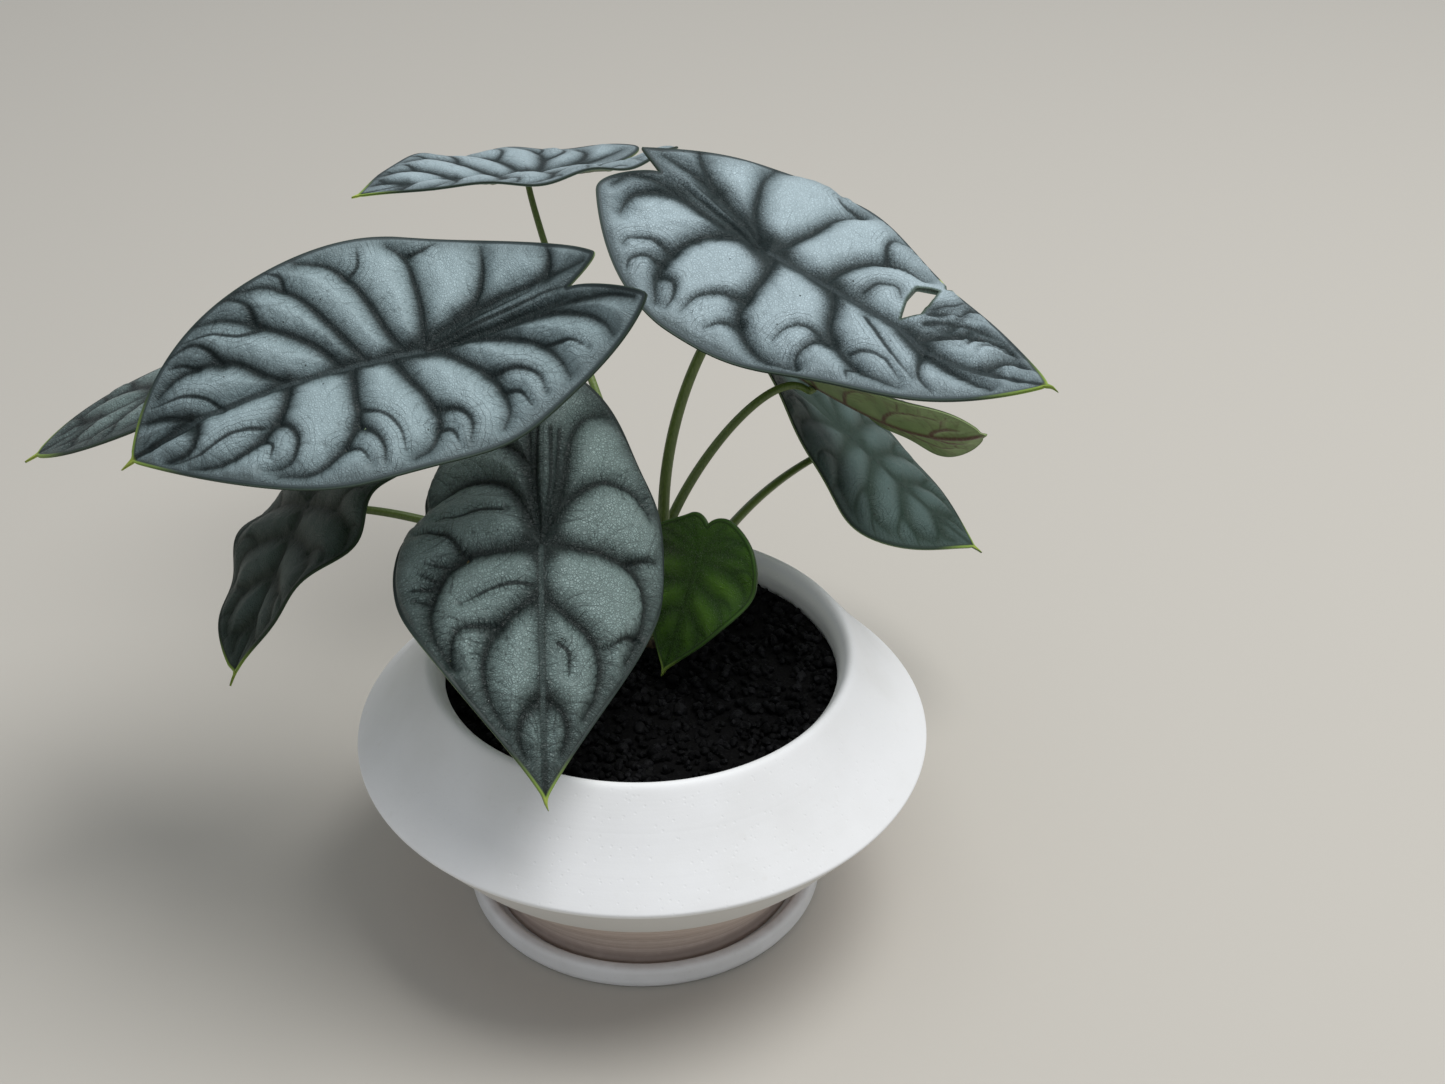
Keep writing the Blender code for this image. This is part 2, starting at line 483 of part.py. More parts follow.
foot_z = SAUCER_FLOOR + GAP
neck = bezier((
    (FOOT_RADIUS, foot_z + 1.2),
    (FOOT_RADIUS + 1.5, foot_z + 14),
    (NECK_RADIUS - 8.5, NECK_TOP - 10),
    (NECK_RADIUS, NECK_TOP)), 7)
cavity = (
    (EDGE_RADIUS - WALL - 4.0, EDGE_HEIGHT + 0.5),
    (EDGE_RADIUS - WALL - 3.0, EDGE_HEIGHT - 3.0),
    (NECK_RADIUS - WALL - 0.5, NECK_TOP - 1.0),
    (FOOT_RADIUS - 2.0, 20.0),
    (FOOT_RADIUS - 7.0, POT_FLOOR))
pot = turned("pot", (
    (LIP_RADIUS + 1.5, LIP_HEIGHT - 0.5),
    (LIP_RADIUS + 2.8, LIP_HEIGHT - 1.8),
    (LIP_RADIUS + 3.8, LIP_HEIGHT - 3.6),
    (EDGE_RADIUS - 12.6, EDGE_HEIGHT + 13.8),
    (EDGE_RADIUS - 1.0, EDGE_HEIGHT + 1.0),
    (EDGE_RADIUS, EDGE_HEIGHT - 0.4),
    (EDGE_RADIUS - 0.9, EDGE_HEIGHT - 1.7),
    *neck[::-1],
    (FOOT_RADIUS - 1.2, foot_z),
    (FOOT_RADIUS - 8.0, foot_z),
    (FOOT_RADIUS - 9.5, foot_z + 1.5),
    (DRAIN_RADIUS, foot_z + 1.5),
    (DRAIN_RADIUS, POT_FLOOR),
    *cavity[::-1],
    (COLLAR_RADIUS + 3.0, LIP_HEIGHT - 16.0),
    (COLLAR_RADIUS, LIP_HEIGHT - 11.5),
    (COLLAR_RADIUS + 0.4, LIP_HEIGHT - 5.5),
    (LIP_RADIUS - 1.6, LIP_HEIGHT - 1.6),
    (LIP_RADIUS, LIP_HEIGHT)), POT_SEGMENTS)
add_material(pot, (0.78, 0.79, 0.80), 0.55)

# the soil fills the pot's inside, and its loose top is lumpy
rings = [(r, SOIL_TOP) for r in np.linspace(0, COLLAR_RADIUS - GAP, 10)]
soil = turned("soil", (
    *rings,
    (COLLAR_RADIUS - GAP, LIP_HEIGHT - 11.7),
    (COLLAR_RADIUS + 2.6, LIP_HEIGHT - 16.2),
    *[(r - 0.42, z) for r, z in cavity[:-1]],
    (cavity[-1][0] - GAP, POT_FLOOR + GAP),
    (0, POT_FLOOR + GAP)), SOIL_SEGMENTS)
lumps = random.Random(11)
for vertex in soil.data.vertices:
    if vertex.co.z > (SOIL_TOP - 0.1) * MM:
        vertex.co.z += lumps.uniform(-1.0, 1.0) * SOIL_GRAIN * MM
add_material(soil, (0.012, 0.011, 0.010), 0.95)

# a plain hole in the soil, which the crown stands in
hole_bottom = SOIL_TOP - CROWN_DEPTH - GAP
hole = turned("soil_hole", (
    (0, SOIL_TOP + 12.0),
    (CROWN_RADIUS + GAP, SOIL_TOP + 12.0),
    (CROWN_RADIUS + GAP, hole_bottom),
    (0, hole_bottom)), 24, (CROWN_X, CROWN_Y, 0))
hole.hide_render = True
hole.display_type = "WIRE"
cut = soil.modifiers.new("crown hole", "BOOLEAN")
cut.operation = "DIFFERENCE"
cut.object = hole

crown = turned("crown", (
    (0, CROWN_TOP + BUD_HEIGHT),
    (0.9, CROWN_TOP + BUD_HEIGHT - 0.6),
    (BUD_RADIUS * 0.7, CROWN_TOP + BUD_HEIGHT * 0.5),
    (BUD_RADIUS, CROWN_TOP),
    (CROWN_RADIUS - 1.0, CROWN_TOP),
    (CROWN_RADIUS, CROWN_TOP - 1.2),
    (CROWN_RADIUS, SOIL_TOP - CROWN_DEPTH + 3.0),
    (CROWN_RADIUS - 3.0, SOIL_TOP - CROWN_DEPTH),
    (0, SOIL_TOP - CROWN_DEPTH)), 24, (CROWN_X, CROWN_Y, 0))
add_material(crown, (0.16, 0.17, 0.07), 0.6)

SILVER = (0.36, 0.44, 0.45)
SHADED = (0.10, 0.14, 0.14)
LEAF_LOOKS = {
    "leaf_left": (SILVER, 0.45), "leaf_right": (SILVER, 0.45), "leaf_front": (SHADED, 0.45),
    "leaf_top": (SILVER, 0.45), "leaf_far_left": (SHADED, 0.45), "leaf_low_left": ((0.03, 0.05, 0.03), 0.4),
    "leaf_low_right": ((0.04, 0.06, 0.05), 0.4), "leaf_under_right": ((0.20, 0.30, 0.10), 0.5),
    "leaf_small": ((0.02, 0.08, 0.03), 0.25)}
for name, own in LEAVES.items():
    leaf = {**COMMON, **own}
    add_blade(name, leaf, *LEAF_LOOKS[name])
    add_stalk(name.replace("leaf", "stalk"), leaf, (0.09, 0.15, 0.04))
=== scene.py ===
import math

import bmesh
import bpy
import numpy as np
from mathutils import Euler, Matrix, Vector


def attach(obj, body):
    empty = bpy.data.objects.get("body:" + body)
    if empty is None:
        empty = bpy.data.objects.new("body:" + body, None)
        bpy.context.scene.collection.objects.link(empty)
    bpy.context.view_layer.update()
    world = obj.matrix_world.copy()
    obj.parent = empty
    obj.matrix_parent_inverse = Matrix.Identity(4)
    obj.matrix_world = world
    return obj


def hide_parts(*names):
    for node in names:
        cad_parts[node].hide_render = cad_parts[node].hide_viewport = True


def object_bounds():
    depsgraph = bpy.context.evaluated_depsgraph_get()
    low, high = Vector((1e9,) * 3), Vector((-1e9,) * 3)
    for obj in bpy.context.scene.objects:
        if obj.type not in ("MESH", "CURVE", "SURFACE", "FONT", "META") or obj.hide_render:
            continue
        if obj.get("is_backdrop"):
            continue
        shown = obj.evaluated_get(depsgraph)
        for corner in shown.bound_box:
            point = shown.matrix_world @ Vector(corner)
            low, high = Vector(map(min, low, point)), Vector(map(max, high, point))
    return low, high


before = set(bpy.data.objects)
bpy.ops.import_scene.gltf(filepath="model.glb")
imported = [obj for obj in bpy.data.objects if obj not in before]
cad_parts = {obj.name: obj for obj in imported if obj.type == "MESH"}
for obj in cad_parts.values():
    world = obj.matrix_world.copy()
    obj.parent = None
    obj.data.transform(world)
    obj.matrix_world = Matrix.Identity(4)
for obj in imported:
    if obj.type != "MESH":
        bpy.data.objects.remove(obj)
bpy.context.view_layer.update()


# Saucer
# A low dish, thrown and turned on a wheel, with a soft rounded rim. It is dipped in the same white glaze
# as the pot's shoulder, stands on its flat underside and carries the pot's foot.

MM = 0.001
SAUCER_RADIUS = 64.0
SAUCER_HEIGHT = 8.5
SAUCER_FLOOR = 3.5
SAUCER_RIM = 5.0
TURNS = 224                    # segments round the thrown pieces

GLAZE = (0.83, 0.835, 0.84)
GLAZE_THIN = (0.62, 0.61, 0.59)


class Wire:
    """One output in a material's nodes: arithmetic on it adds Math nodes, and node() adds any other
    node."""

    def __init__(self, tree, socket):
        self.tree = tree
        self.socket = socket

    def node(self, kind, settings=None, inputs=None, output=0):
        """A node of any type. Its settings are set first, then the values or links of its sockets."""
        made = self.tree.nodes.new(kind)
        for key, value in (settings or {}).items():
            setattr(made, key, value)
        for key, value in (inputs or {}).items():
            if isinstance(value, Wire):
                self.tree.links.new(value.socket, made.inputs[key])
            else:
                made.inputs[key].default_value = value
        return Wire(self.tree, made.outputs[output])

    def math(self, operation, *values):
        return self.node("ShaderNodeMath", {"operation": operation}, dict(enumerate(values)))

    def __add__(self, other):
        return self.math("ADD", self, other)

    def __radd__(self, other):
        return self.math("ADD", other, self)

    def __sub__(self, other):
        return self.math("SUBTRACT", self, other)

    def __rsub__(self, other):
        return self.math("SUBTRACT", other, self)

    def __mul__(self, other):
        return self.math("MULTIPLY", self, other)

    def __rmul__(self, other):
        return self.math("MULTIPLY", other, self)

    def __truediv__(self, other):
        return self.math("DIVIDE", self, other)

    def __rtruediv__(self, other):
        return self.math("DIVIDE", other, self)

    def __pow__(self, other):
        return self.math("POWER", self, other)

    def rise(self, low, high):
        """0 below low, 1 above high, and a smooth rise between them. With low above high it falls."""
        return self.node("ShaderNodeMapRange", {"interpolation_type": "SMOOTHSTEP"},
                         {"Value": self, "From Min": low, "From Max": high})

    def bell(self, width):
        """1 at zero, falling to both sides as a bell of that width."""
        return self.math("EXPONENT", (self / width) ** 2 * -1.0)

    def shade(self, low, high):
        """The colour low where this is 0 and high where it is 1."""
        low, high = ((*c, 1.0) if isinstance(c, tuple) else c for c in (low, high))
        return self.node("ShaderNodeMix", {"data_type": "RGBA"}, {0: self, 6: low, 7: high}, 2)

    def split(self):
        """The three parts of a vector."""
        made = self.node("ShaderNodeSeparateXYZ", None, {0: self}).socket.node
        return [Wire(self.tree, output) for output in made.outputs]

    def join(self, x, y, z=0.0):
        return self.node("ShaderNodeCombineXYZ", None, {0: x, 1: y, 2: z})

    def noise(self, size, detail=2.0, roughness=0.5):
        """Soft noise from 0 to 1 whose blotches are about that size, in the units of this vector."""
        return self.node("ShaderNodeTexNoise", None,
                         {"Vector": self, "Scale": 1.0 / size, "Detail": detail, "Roughness": roughness})

    def cracks(self, size, jitter=1.0):
        """Distance to the borders of cells of that size, 0 on a border."""
        return self.node("ShaderNodeTexVoronoi", {"feature": "DISTANCE_TO_EDGE"},
                         {"Vector": self, "Scale": 1.0 / size, "Randomness": jitter})

    def dots(self, size):
        """Distance to the nearest of points scattered about that far apart."""
        return self.node("ShaderNodeTexVoronoi", None, {"Vector": self, "Scale": 1.0 / size})

    def bump(self, millimetres, onto=None):
        """A normal for relief of this height times that many millimetres."""
        inputs = {"Height": self, "Distance": millimetres * MM, "Strength": 1.0}
        if onto is not None:
            inputs["Normal"] = onto
        return self.node("ShaderNodeBump", None, inputs)


def material(name, inputs, wires):
    """Fills in the shader: inputs are numbers or colours that are the same all over, wires are what
    varies."""
    made = bpy.data.materials[name]
    shader = made.node_tree.nodes["Principled BSDF"]
    for key, value in inputs.items():
        shader.inputs[key].default_value = (*value, 1.0) if isinstance(value, tuple) else value
    for key, wire in wires.items():
        made.node_tree.links.new(wire.socket, shader.inputs[key])
    return made


def places(name):
    """Starts a material and gives the piece's Object coordinates in millimetres."""
    made = bpy.data.materials.new(name)
    made.use_nodes = True
    tree = made.node_tree
    place = Wire(tree, None).node("ShaderNodeTexCoord", output="Object")
    return place.node("ShaderNodeVectorMath", {"operation": "SCALE"}, {0: place, "Scale": 1.0 / MM})


def add_piece(name, points, faces, materials, replaced=(), merge=True):
    """A piece from an array of points in millimetres and arrays of faces with any number of corners."""
    mesh = bpy.data.meshes.new(name)
    corners = np.concatenate([f.ravel() for f in faces]).astype(np.int32)
    counts = np.concatenate([np.full(len(f), f.shape[1]) for f in faces]).astype(np.int32)
    mesh.vertices.add(len(points))
    mesh.vertices.foreach_set("co", (np.asarray(points) * MM).astype(np.float32).ravel())
    mesh.loops.add(len(corners))
    mesh.loops.foreach_set("vertex_index", corners)
    mesh.polygons.add(len(counts))
    mesh.polygons.foreach_set("loop_start", np.concatenate([[0], np.cumsum(counts)[:-1]]).astype(np.int32))
    mesh.polygons.foreach_set("loop_total", counts)
    mesh.update(calc_edges=True)
    mesh.validate()
    for entry in materials:
        mesh.materials.append(entry)
    if merge:
        shape = bmesh.new()
        shape.from_mesh(mesh)
        bmesh.ops.remove_doubles(shape, verts=shape.verts, dist=1e-7)
        bmesh.ops.recalc_face_normals(shape, faces=shape.faces)
        shape.to_mesh(mesh)
        shape.free()
    mesh.shade_smooth()
    piece = bpy.data.objects.new(name, mesh)
    bpy.context.collection.objects.link(piece)
    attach(piece, "root")
    if replaced:
        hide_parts(*replaced)
    return piece


def grid_faces(rows, columns, around=False):
    """The quads of a grid of points. With around, the last column is joined to the first."""
    steps = columns if around else columns - 1
    row, column = np.meshgrid(np.arange(rows - 1), np.arange(steps), indexing="ij")
    here = (row * columns + column).ravel()
    beside = (row * columns + (column + 1) % columns).ravel()
    return np.stack([here, beside, beside + columns, here + columns], 1)


def filleted(corners, steps=7):
    """A profile whose corners (radius, height, rounding) are each replaced by a parabola that starts and
    ends that far from the corner."""
    corners = np.array(corners, float)
    place, rounding = corners[:, :2], corners[:, 2:]
    along = np.diff(place, axis=0)
    along /= np.maximum(np.linalg.norm(along, axis=1), 1e-9)[:, None]
    before = place - np.concatenate([along[:1], along]) * rounding
    after = place + np.concatenate([along, along[-1:]]) * rounding
    t = np.linspace(0, 1, steps)[None, :, None]
    curve = (1 - t) ** 2 * before[:, None] + 2 * (1 - t) * t * place[:, None] + t ** 2 * after[:, None]
    line = curve.reshape(-1, 2)
    apart = np.concatenate([[True], np.linalg.norm(np.diff(line, axis=0), axis=1) > 1e-4])
    return line[apart]


def spaced(line, longest):
    """The same line with points added so that no stretch is longer than that."""
    run = np.concatenate([[0], np.cumsum(np.linalg.norm(np.diff(line, axis=0), axis=1))])
    extra = [np.linspace(a, b, max(2, math.ceil((b - a) / longest) + 1))[:-1] for a, b in zip(run, run[1:])]
    stops = np.concatenate([*extra, run[-1:]])
    return np.stack([np.interp(stops, run, line[:, k]) for k in range(line.shape[1])], 1)


def thrown(profile, turns, uneven):
    """Points of a profile (radius, height) carried round the z axis: x = r cos a, y = r sin a. The radius
    and the height waver by a few hundredths of a millimetre in slow waves, as hand-thrown clay does."""
    angle = np.linspace(0, 2 * math.pi, turns, endpoint=False)[None, :]
    radius, height = profile[:, 0:1], profile[:, 1:2]
    waver = np.sin(2 * angle + 0.05 * height) + 0.6 * np.sin(3 * angle - 0.09 * height + 1.3)
    reach = np.clip(radius / 60, 0, 1)
    r = radius + uneven * (waver - 1.6) * reach
    return np.stack([r * np.cos(angle), r * np.sin(angle), height + 0 * angle], -1).reshape(-1, 3)


place = places("saucer_glaze")
x, y, z = place.split()
spots = place.noise(1.1, 3.0).rise(0.60, 0.74)
clouds = place.noise(26.0, 3.0)
radius = (x * x + y * y) ** 0.5
worn = (radius - (SAUCER_RADIUS - 2.2)).bell(1.3) * place.noise(5.0, 3.0).rise(0.35, 0.7)
tone = (clouds.rise(0.3, 0.75) * 0.5 + spots * 0.18 + worn * 0.35).shade(GLAZE, GLAZE_THIN)
rings = place.join(radius * 0.9, z * 0.9).noise(1.0, 2.0)
relief = rings * 0.5 + place.noise(0.6, 2.0) * 0.2
saucer_glaze = material(
    "saucer_glaze", {"Specular IOR Level": 0.45},
    {"Base Color": tone, "Roughness": clouds * 0.14 + 0.38, "Normal": relief.bump(0.10)})

rim_inside = SAUCER_RADIUS - SAUCER_RIM
saucer_profile = spaced(filleted((
    (0, 0, 0),
    (SAUCER_RADIUS - 1.2, 0, 0.9),
    (SAUCER_RADIUS, 2.2, 1.2),
    (SAUCER_RADIUS - 0.3, SAUCER_HEIGHT, 2.4),
    (rim_inside + 0.4, SAUCER_HEIGHT, 1.8),
    (rim_inside - 0.9, SAUCER_FLOOR, 1.3),
    (0, SAUCER_FLOOR, 0))), 3.0)
add_piece("saucer_dish", thrown(saucer_profile, TURNS, 0.04),
          [grid_faces(len(saucer_profile), TURNS, True)], [saucer_glaze], ["saucer"])


# Pot
# A wide bowl thrown in pale clay: a bare pinkish neck above a small foot, then a sharp widest edge and a
# long shoulder in matte white glaze up to a rounded lip. The strip under the edge faces down and is painted
# grey as shade.

FOOT_RADIUS = 55.0
NECK_RADIUS, NECK_TOP = 84.0, 46.0
EDGE_RADIUS, EDGE_HEIGHT = 100.0, 67.0
LIP_RADIUS, LIP_HEIGHT = 71.0, 99.0
COLLAR_RADIUS = 67.8
WALL = 6.0
POT_FLOOR = 9.5
DRAIN_RADIUS = 6.0
FOOT_Z = SAUCER_FLOOR + 0.3

CLAY = (0.45, 0.36, 0.31)
CLAY_PALE = (0.60, 0.51, 0.46)
# painted shade: the grey of the downward-facing strip under the widest edge
EDGE_SHADE_GREY = (0.62, 0.61, 0.585)
GLAZE_INSIDE = (0.82, 0.82, 0.80)


def bezier(controls, count):
    """A Bezier curve of any degree: a sum of the controls weighted with Bernstein polynomials of t."""
    controls = np.array(controls, float)
    degree = len(controls) - 1
    t = np.linspace(0, 1, count)[:, None]
    return sum(math.comb(degree, k) * (1 - t) ** (degree - k) * t ** k * controls[k]
               for k in range(degree + 1))


place = places("pot_glaze")
x, y, z = place.split()
radius = (x * x + y * y) ** 0.5
clouds = place.noise(34.0, 4.0)
grain = place.noise(0.7, 3.0)
ragged = place.noise(4.0, 4.0) * 2.4 - 1.2
# painted shade: the strip under the widest edge, which faces down, is coloured grey
under = (z + ragged * 0.25).rise(EDGE_HEIGHT - 1.0, EDGE_HEIGHT - 2.4) * (radius - 40.0).rise(0.0, 2.0)
bare = (z + ragged * 0.8).rise(NECK_TOP - 1.4, NECK_TOP - 2.8) * (radius - 20.0).rise(0.0, 2.0)
inside = (radius - (LIP_RADIUS - 0.9)).rise(0.4, -1.2) * (z - 80.0).rise(0.0, 1.0)
throwing = place.join(radius * 0.35, z).noise(1.9, 2.0)
pores = 1.0 - place.dots(2.6).rise(0.10, 0.22)
white = (clouds.rise(0.35, 0.8) * 0.6 + grain.rise(0.55, 0.8) * 0.15).shade(GLAZE, (0.73, 0.73, 0.72))
white = (place.noise(6.0, 4.0).rise(0.64, 0.8) * 0.22).shade(white, (0.66, 0.64, 0.60))
clay = (throwing.rise(0.35, 0.68) * 0.7 + place.noise(3.0, 3.0).rise(0.4, 0.8) * 0.3).shade(CLAY, CLAY_PALE)
tone = under.shade(white, EDGE_SHADE_GREY)
tone = inside.shade(tone, GLAZE_INSIDE)
tone = bare.shade(tone, clay)
relief = throwing * 0.30 + grain * 0.10 + clouds * 0.2 - pores * 0.25 * (1.0 - bare * 0.6)
pot_glaze = material(
    "pot_glaze", {"Specular IOR Level": 0.4},
    {"Base Color": tone, "Roughness": bare * 0.26 + clouds * 0.12 + 0.52, "Normal": relief.bump(0.16)})

neck = bezier((
    (FOOT_RADIUS, FOOT_Z + 1.2),
    (FOOT_RADIUS + 1.5, FOOT_Z + 14),
    (NECK_RADIUS - 8.5, NECK_TOP - 10),
    (NECK_RADIUS, NECK_TOP)), 18)
neck[:, 0] += 0.16 * np.sin(neck[:, 1] * 1.9)       # the ridges that fingers leave in the clay
outside = filleted((
    (DRAIN_RADIUS, POT_FLOOR, 0),
    (DRAIN_RADIUS, FOOT_Z + 1.5, 0.3),
    (FOOT_RADIUS - 9.5, FOOT_Z + 1.5, 0.6),
    (FOOT_RADIUS - 8.4, FOOT_Z, 0.5),
    (FOOT_RADIUS, FOOT_Z, 0.9)), 5)
shoulder = filleted((
    (NECK_RADIUS, NECK_TOP, 0.0),
    (NECK_RADIUS + 0.9, NECK_TOP + 1.1, 0.4),
    (EDGE_RADIUS, EDGE_HEIGHT, 1.1),
    (EDGE_RADIUS - 12.8, EDGE_HEIGHT + 14.2, 6.0),
    (LIP_RADIUS + 1.5, LIP_HEIGHT + 1.3, 4.0),
    (COLLAR_RADIUS + 0.2, LIP_HEIGHT - 5.5, 2.0),
    (COLLAR_RADIUS, LIP_HEIGHT - 11.5, 2.0),
    (COLLAR_RADIUS + 3.0, LIP_HEIGHT - 16.0, 2.0),
    (EDGE_RADIUS - WALL - 4.0, EDGE_HEIGHT + 0.5, 2.0),
    (EDGE_RADIUS - WALL - 3.0, EDGE_HEIGHT - 3.0, 1.0),
    (NECK_RADIUS - WALL - 0.5, NECK_TOP - 1.0, 2.0),
    (FOOT_RADIUS - 2.0, 20.0, 3.0),
    (FOOT_RADIUS - 7.0, POT_FLOOR, 2.0),
    (DRAIN_RADIUS, POT_FLOOR, 0)), 9)
pot_profile = spaced(np.concatenate([outside, neck[1:], shoulder[1:]]), 2.6)
add_piece("pot_thrown", thrown(pot_profile, TURNS, 0.07), [grid_faces(len(pot_profile), TURNS, True)],
          [pot_glaze], ["pot"])


# Soil
# A near-black, gritty mix of bark and lava crumbs. The solid bed under it fills the pot, and loose crumbs
# of two to five millimetres lie on its top, pressed into each other.

SOIL_TOP = 88.0
CROWN_X, CROWN_Y = 6.0, 26.0
CROWN_RADIUS = 12.0
CRUMBS = 1680

place = places("soil_dark")
speck = place.noise(0.9, 4.0)
tint = place.noise(7.0, 2.0)
tone = speck.rise(0.5, 0.82) * 0.7 + tint.rise(0.5, 0.8) * 0.3
tone = tone.shade((0.0016, 0.0015, 0.0016), (0.009, 0.009, 0.010))
relief = speck + place.noise(0.3, 2.0) * 0.5
soil_dark = material(
    "soil_dark", {"Specular IOR Level": 0.1},
    {"Base Color": tone, "Roughness": 0.95 - speck * 0.3, "Normal": relief.bump(0.35)})
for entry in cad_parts["soil"].material_slots:
    entry.material = soil_dark

rng = np.random.default_rng(7)
side = np.linspace(-1, 1, 4)
cube = np.stack(np.meshgrid(side, side, side, indexing="ij"), -1).reshape(-1, 3)
cube_index = np.arange(64).reshape(4, 4, 4)
sheets = [cube_index[0], cube_index[-1, ::-1], cube_index[::-1, 0], cube_index[:, -1],
          cube_index[:, :, 0].T, cube_index[:, :, -1]]
crumb_faces = np.concatenate([np.stack([s[:-1, :-1], s[:-1, 1:], s[1:, 1:], s[1:, :-1]], -1).reshape(-1, 4)
                              for s in sheets])
crumb = cube / np.linalg.norm(cube, axis=1, keepdims=True)
used = np.unique(crumb_faces)
crumb_faces = np.searchsorted(used, crumb_faces)
crumb = crumb[used]
outward = np.cross(crumb[crumb_faces[:, 1]] - crumb[crumb_faces[:, 0]],
                   crumb[crumb_faces[:, 2]] - crumb[crumb_faces[:, 0]])
turned_in = (outward * crumb[crumb_faces].mean(1)).sum(1) < 0
crumb_faces[turned_in] = crumb_faces[turned_in][:, ::-1]


def crumbs(count):
    """Irregular crumbs: a ball whose points are each moved along the radius by a sum of three slow waves
    and a little noise, stretched on three axes, turned at random and laid on the soil's top."""
    angle = rng.uniform(0, 2 * math.pi, count)
    radius = (COLLAR_RADIUS - 1.6) * np.sqrt(rng.uniform(0, 1, count))
    centre = np.stack([radius * np.cos(angle), radius * np.sin(angle)], 1)
    clear = np.hypot(centre[:, 0] - CROWN_X, centre[:, 1] - CROWN_Y) > CROWN_RADIUS + 0.6
    centre = centre[clear]
    count = len(centre)
    size = 0.9 + 1.5 * rng.beta(1.6, 3.2, count)
    edge = (COLLAR_RADIUS - 0.4) - np.hypot(*centre.T)
    size = np.minimum(size, np.maximum(edge, 0.7))
    stretch = size[:, None] * np.stack([rng.uniform(0.9, 1.45, count), rng.uniform(0.75, 1.1, count),
                                        rng.uniform(0.6, 0.95, count)], 1)
    waves = rng.normal(0, 2.2, (count, 3, 3))
    lump = 1 + 0.11 * np.sin(np.einsum("cwk,pk->cpw", waves, crumb)).sum(-1)
    lump += rng.normal(0, 0.035, (count, len(crumb)))
    points = crumb[None] * lump[..., None] * stretch[:, None]
    axis = rng.normal(0, 1, (count, 4))
    w, i, j, k = (axis / np.linalg.norm(axis, axis=1, keepdims=True)).T
    turn = np.stack([1 - 2 * (j * j + k * k), 2 * (i * j - k * w), 2 * (i * k + j * w),
                     2 * (i * j + k * w), 1 - 2 * (i * i + k * k), 2 * (j * k - i * w),
                     2 * (i * k - j * w), 2 * (j * k + i * w), 1 - 2 * (i * i + j * j)], 1)
    points = np.einsum("crk,cpk->cpr", turn.reshape(-1, 3, 3), points)
    height = SOIL_TOP + 0.2 + size * rng.uniform(0.0, 0.75, count)
    points += np.concatenate([centre, height[:, None]], 1)[:, None]
    from_axis = np.hypot(points[..., 0], points[..., 1])
    points[..., :2] *= np.minimum(1, (COLLAR_RADIUS - 0.4) / np.maximum(from_axis, 1))[..., None]
    faces = crumb_faces[None] + (np.arange(count) * len(crumb))[:, None, None]
    return points.reshape(-1, 3), faces.reshape(-1, 4)


place = places("soil_crumbs")
speck = place.noise(0.7, 4.0)
each = place.node("ShaderNodeTexVoronoi", None, {"Vector": place, "Scale": 1.0 / 3.0}, 1).split()[0]
tone = speck.rise(0.45, 0.85) * 0.55 + each.rise(0.55, 1.0) * 0.45
tone = tone.shade((0.0012, 0.0012, 0.0014), (0.0105, 0.0105, 0.012))
relief = speck + place.noise(0.25, 2.0) * 0.4
soil_crumbs = material(
    "soil_crumbs", {"Specular IOR Level": 0.10},
    {"Base Color": tone, "Roughness": 0.85 - each * 0.35, "Normal": relief.bump(0.3)})
crumb_points, all_crumb_faces = crumbs(CRUMBS)
soil_loose = add_piece("soil_loose", crumb_points, [all_crumb_faces], [soil_crumbs], merge=False)
soil_loose.data.set_sharp_from_angle(angle=math.radians(32))


# Crown
# The short fibrous stem at soil level that every stalk rises from, with the next rolled leaf standing in
# the middle as a slim green spear. Dry brown leaf bases clasp it.

CROWN_TOP = 92.2
CROWN_DEPTH = 25.0
BUD_RADIUS, BUD_HEIGHT = 3.0, 13.0
CROWN_TURNS = 72

place = places("crown_fibre")
x, y, z = place.split()
strands = place.join(x, y, z * 0.12).noise(0.8, 3.0)
high = (z + place.noise(2.0) * 2.0).rise(CROWN_TOP - 0.5, CROWN_TOP + 2.5)
brown = strands.rise(0.35, 0.7).shade((0.035, 0.022, 0.013), (0.17, 0.125, 0.07))
green = strands.rise(0.3, 0.75).shade((0.10, 0.15, 0.045), (0.17, 0.22, 0.08))
crown_fibre = material(
    "crown_fibre", {},
    {"Base Color": high.shade(brown, green), "Roughness": 0.8 - high * 0.35, "Normal": strands.bump(0.35)})

crown_profile = spaced(filleted((
    (0, CROWN_TOP + BUD_HEIGHT, 0),
    (0.5, CROWN_TOP + BUD_HEIGHT - 0.3, 0.2),
    (BUD_RADIUS * 0.75, CROWN_TOP + BUD_HEIGHT * 0.55, 2.0),
    (BUD_RADIUS, CROWN_TOP + 1.0, 1.0),
    (BUD_RADIUS + 0.9, CROWN_TOP - 0.1, 0.6),
    (CROWN_RADIUS - 1.0, CROWN_TOP - 0.1, 0.8),
    (CROWN_RADIUS - 0.1, CROWN_TOP - 1.6, 0.8),
    (CROWN_RADIUS - 0.1, SOIL_TOP - CROWN_DEPTH + 3.0, 1.5),
    (CROWN_RADIUS - 3.0, SOIL_TOP - CROWN_DEPTH, 1.0),
    (0, SOIL_TOP - CROWN_DEPTH, 0))), 1.6)
crown_points = thrown(crown_profile, CROWN_TURNS, 0.0).reshape(len(crown_profile), CROWN_TURNS, 3)
around = np.arctan2(crown_points[..., 1], crown_points[..., 0])
groove = 1 - 0.016 * (1 + np.sin(23 * around + 0.8 * np.sin(crown_points[..., 2] * 0.6)))
crown_points[..., :2] *= groove[..., None]
crown_points[..., :2] += (CROWN_X, CROWN_Y)
add_piece("crown_stem", crown_points.reshape(-1, 3),
          [grid_faces(len(crown_profile), CROWN_TURNS, True)], [crown_fibre], ["crown"])


# Blades
# Thick, stiff, quilted shields on a stalk that joins them underneath, a third of the way along. The skin
# is silver between dark green bands that follow the sunken ribs, and a smooth dark rim runs round the
# margin.

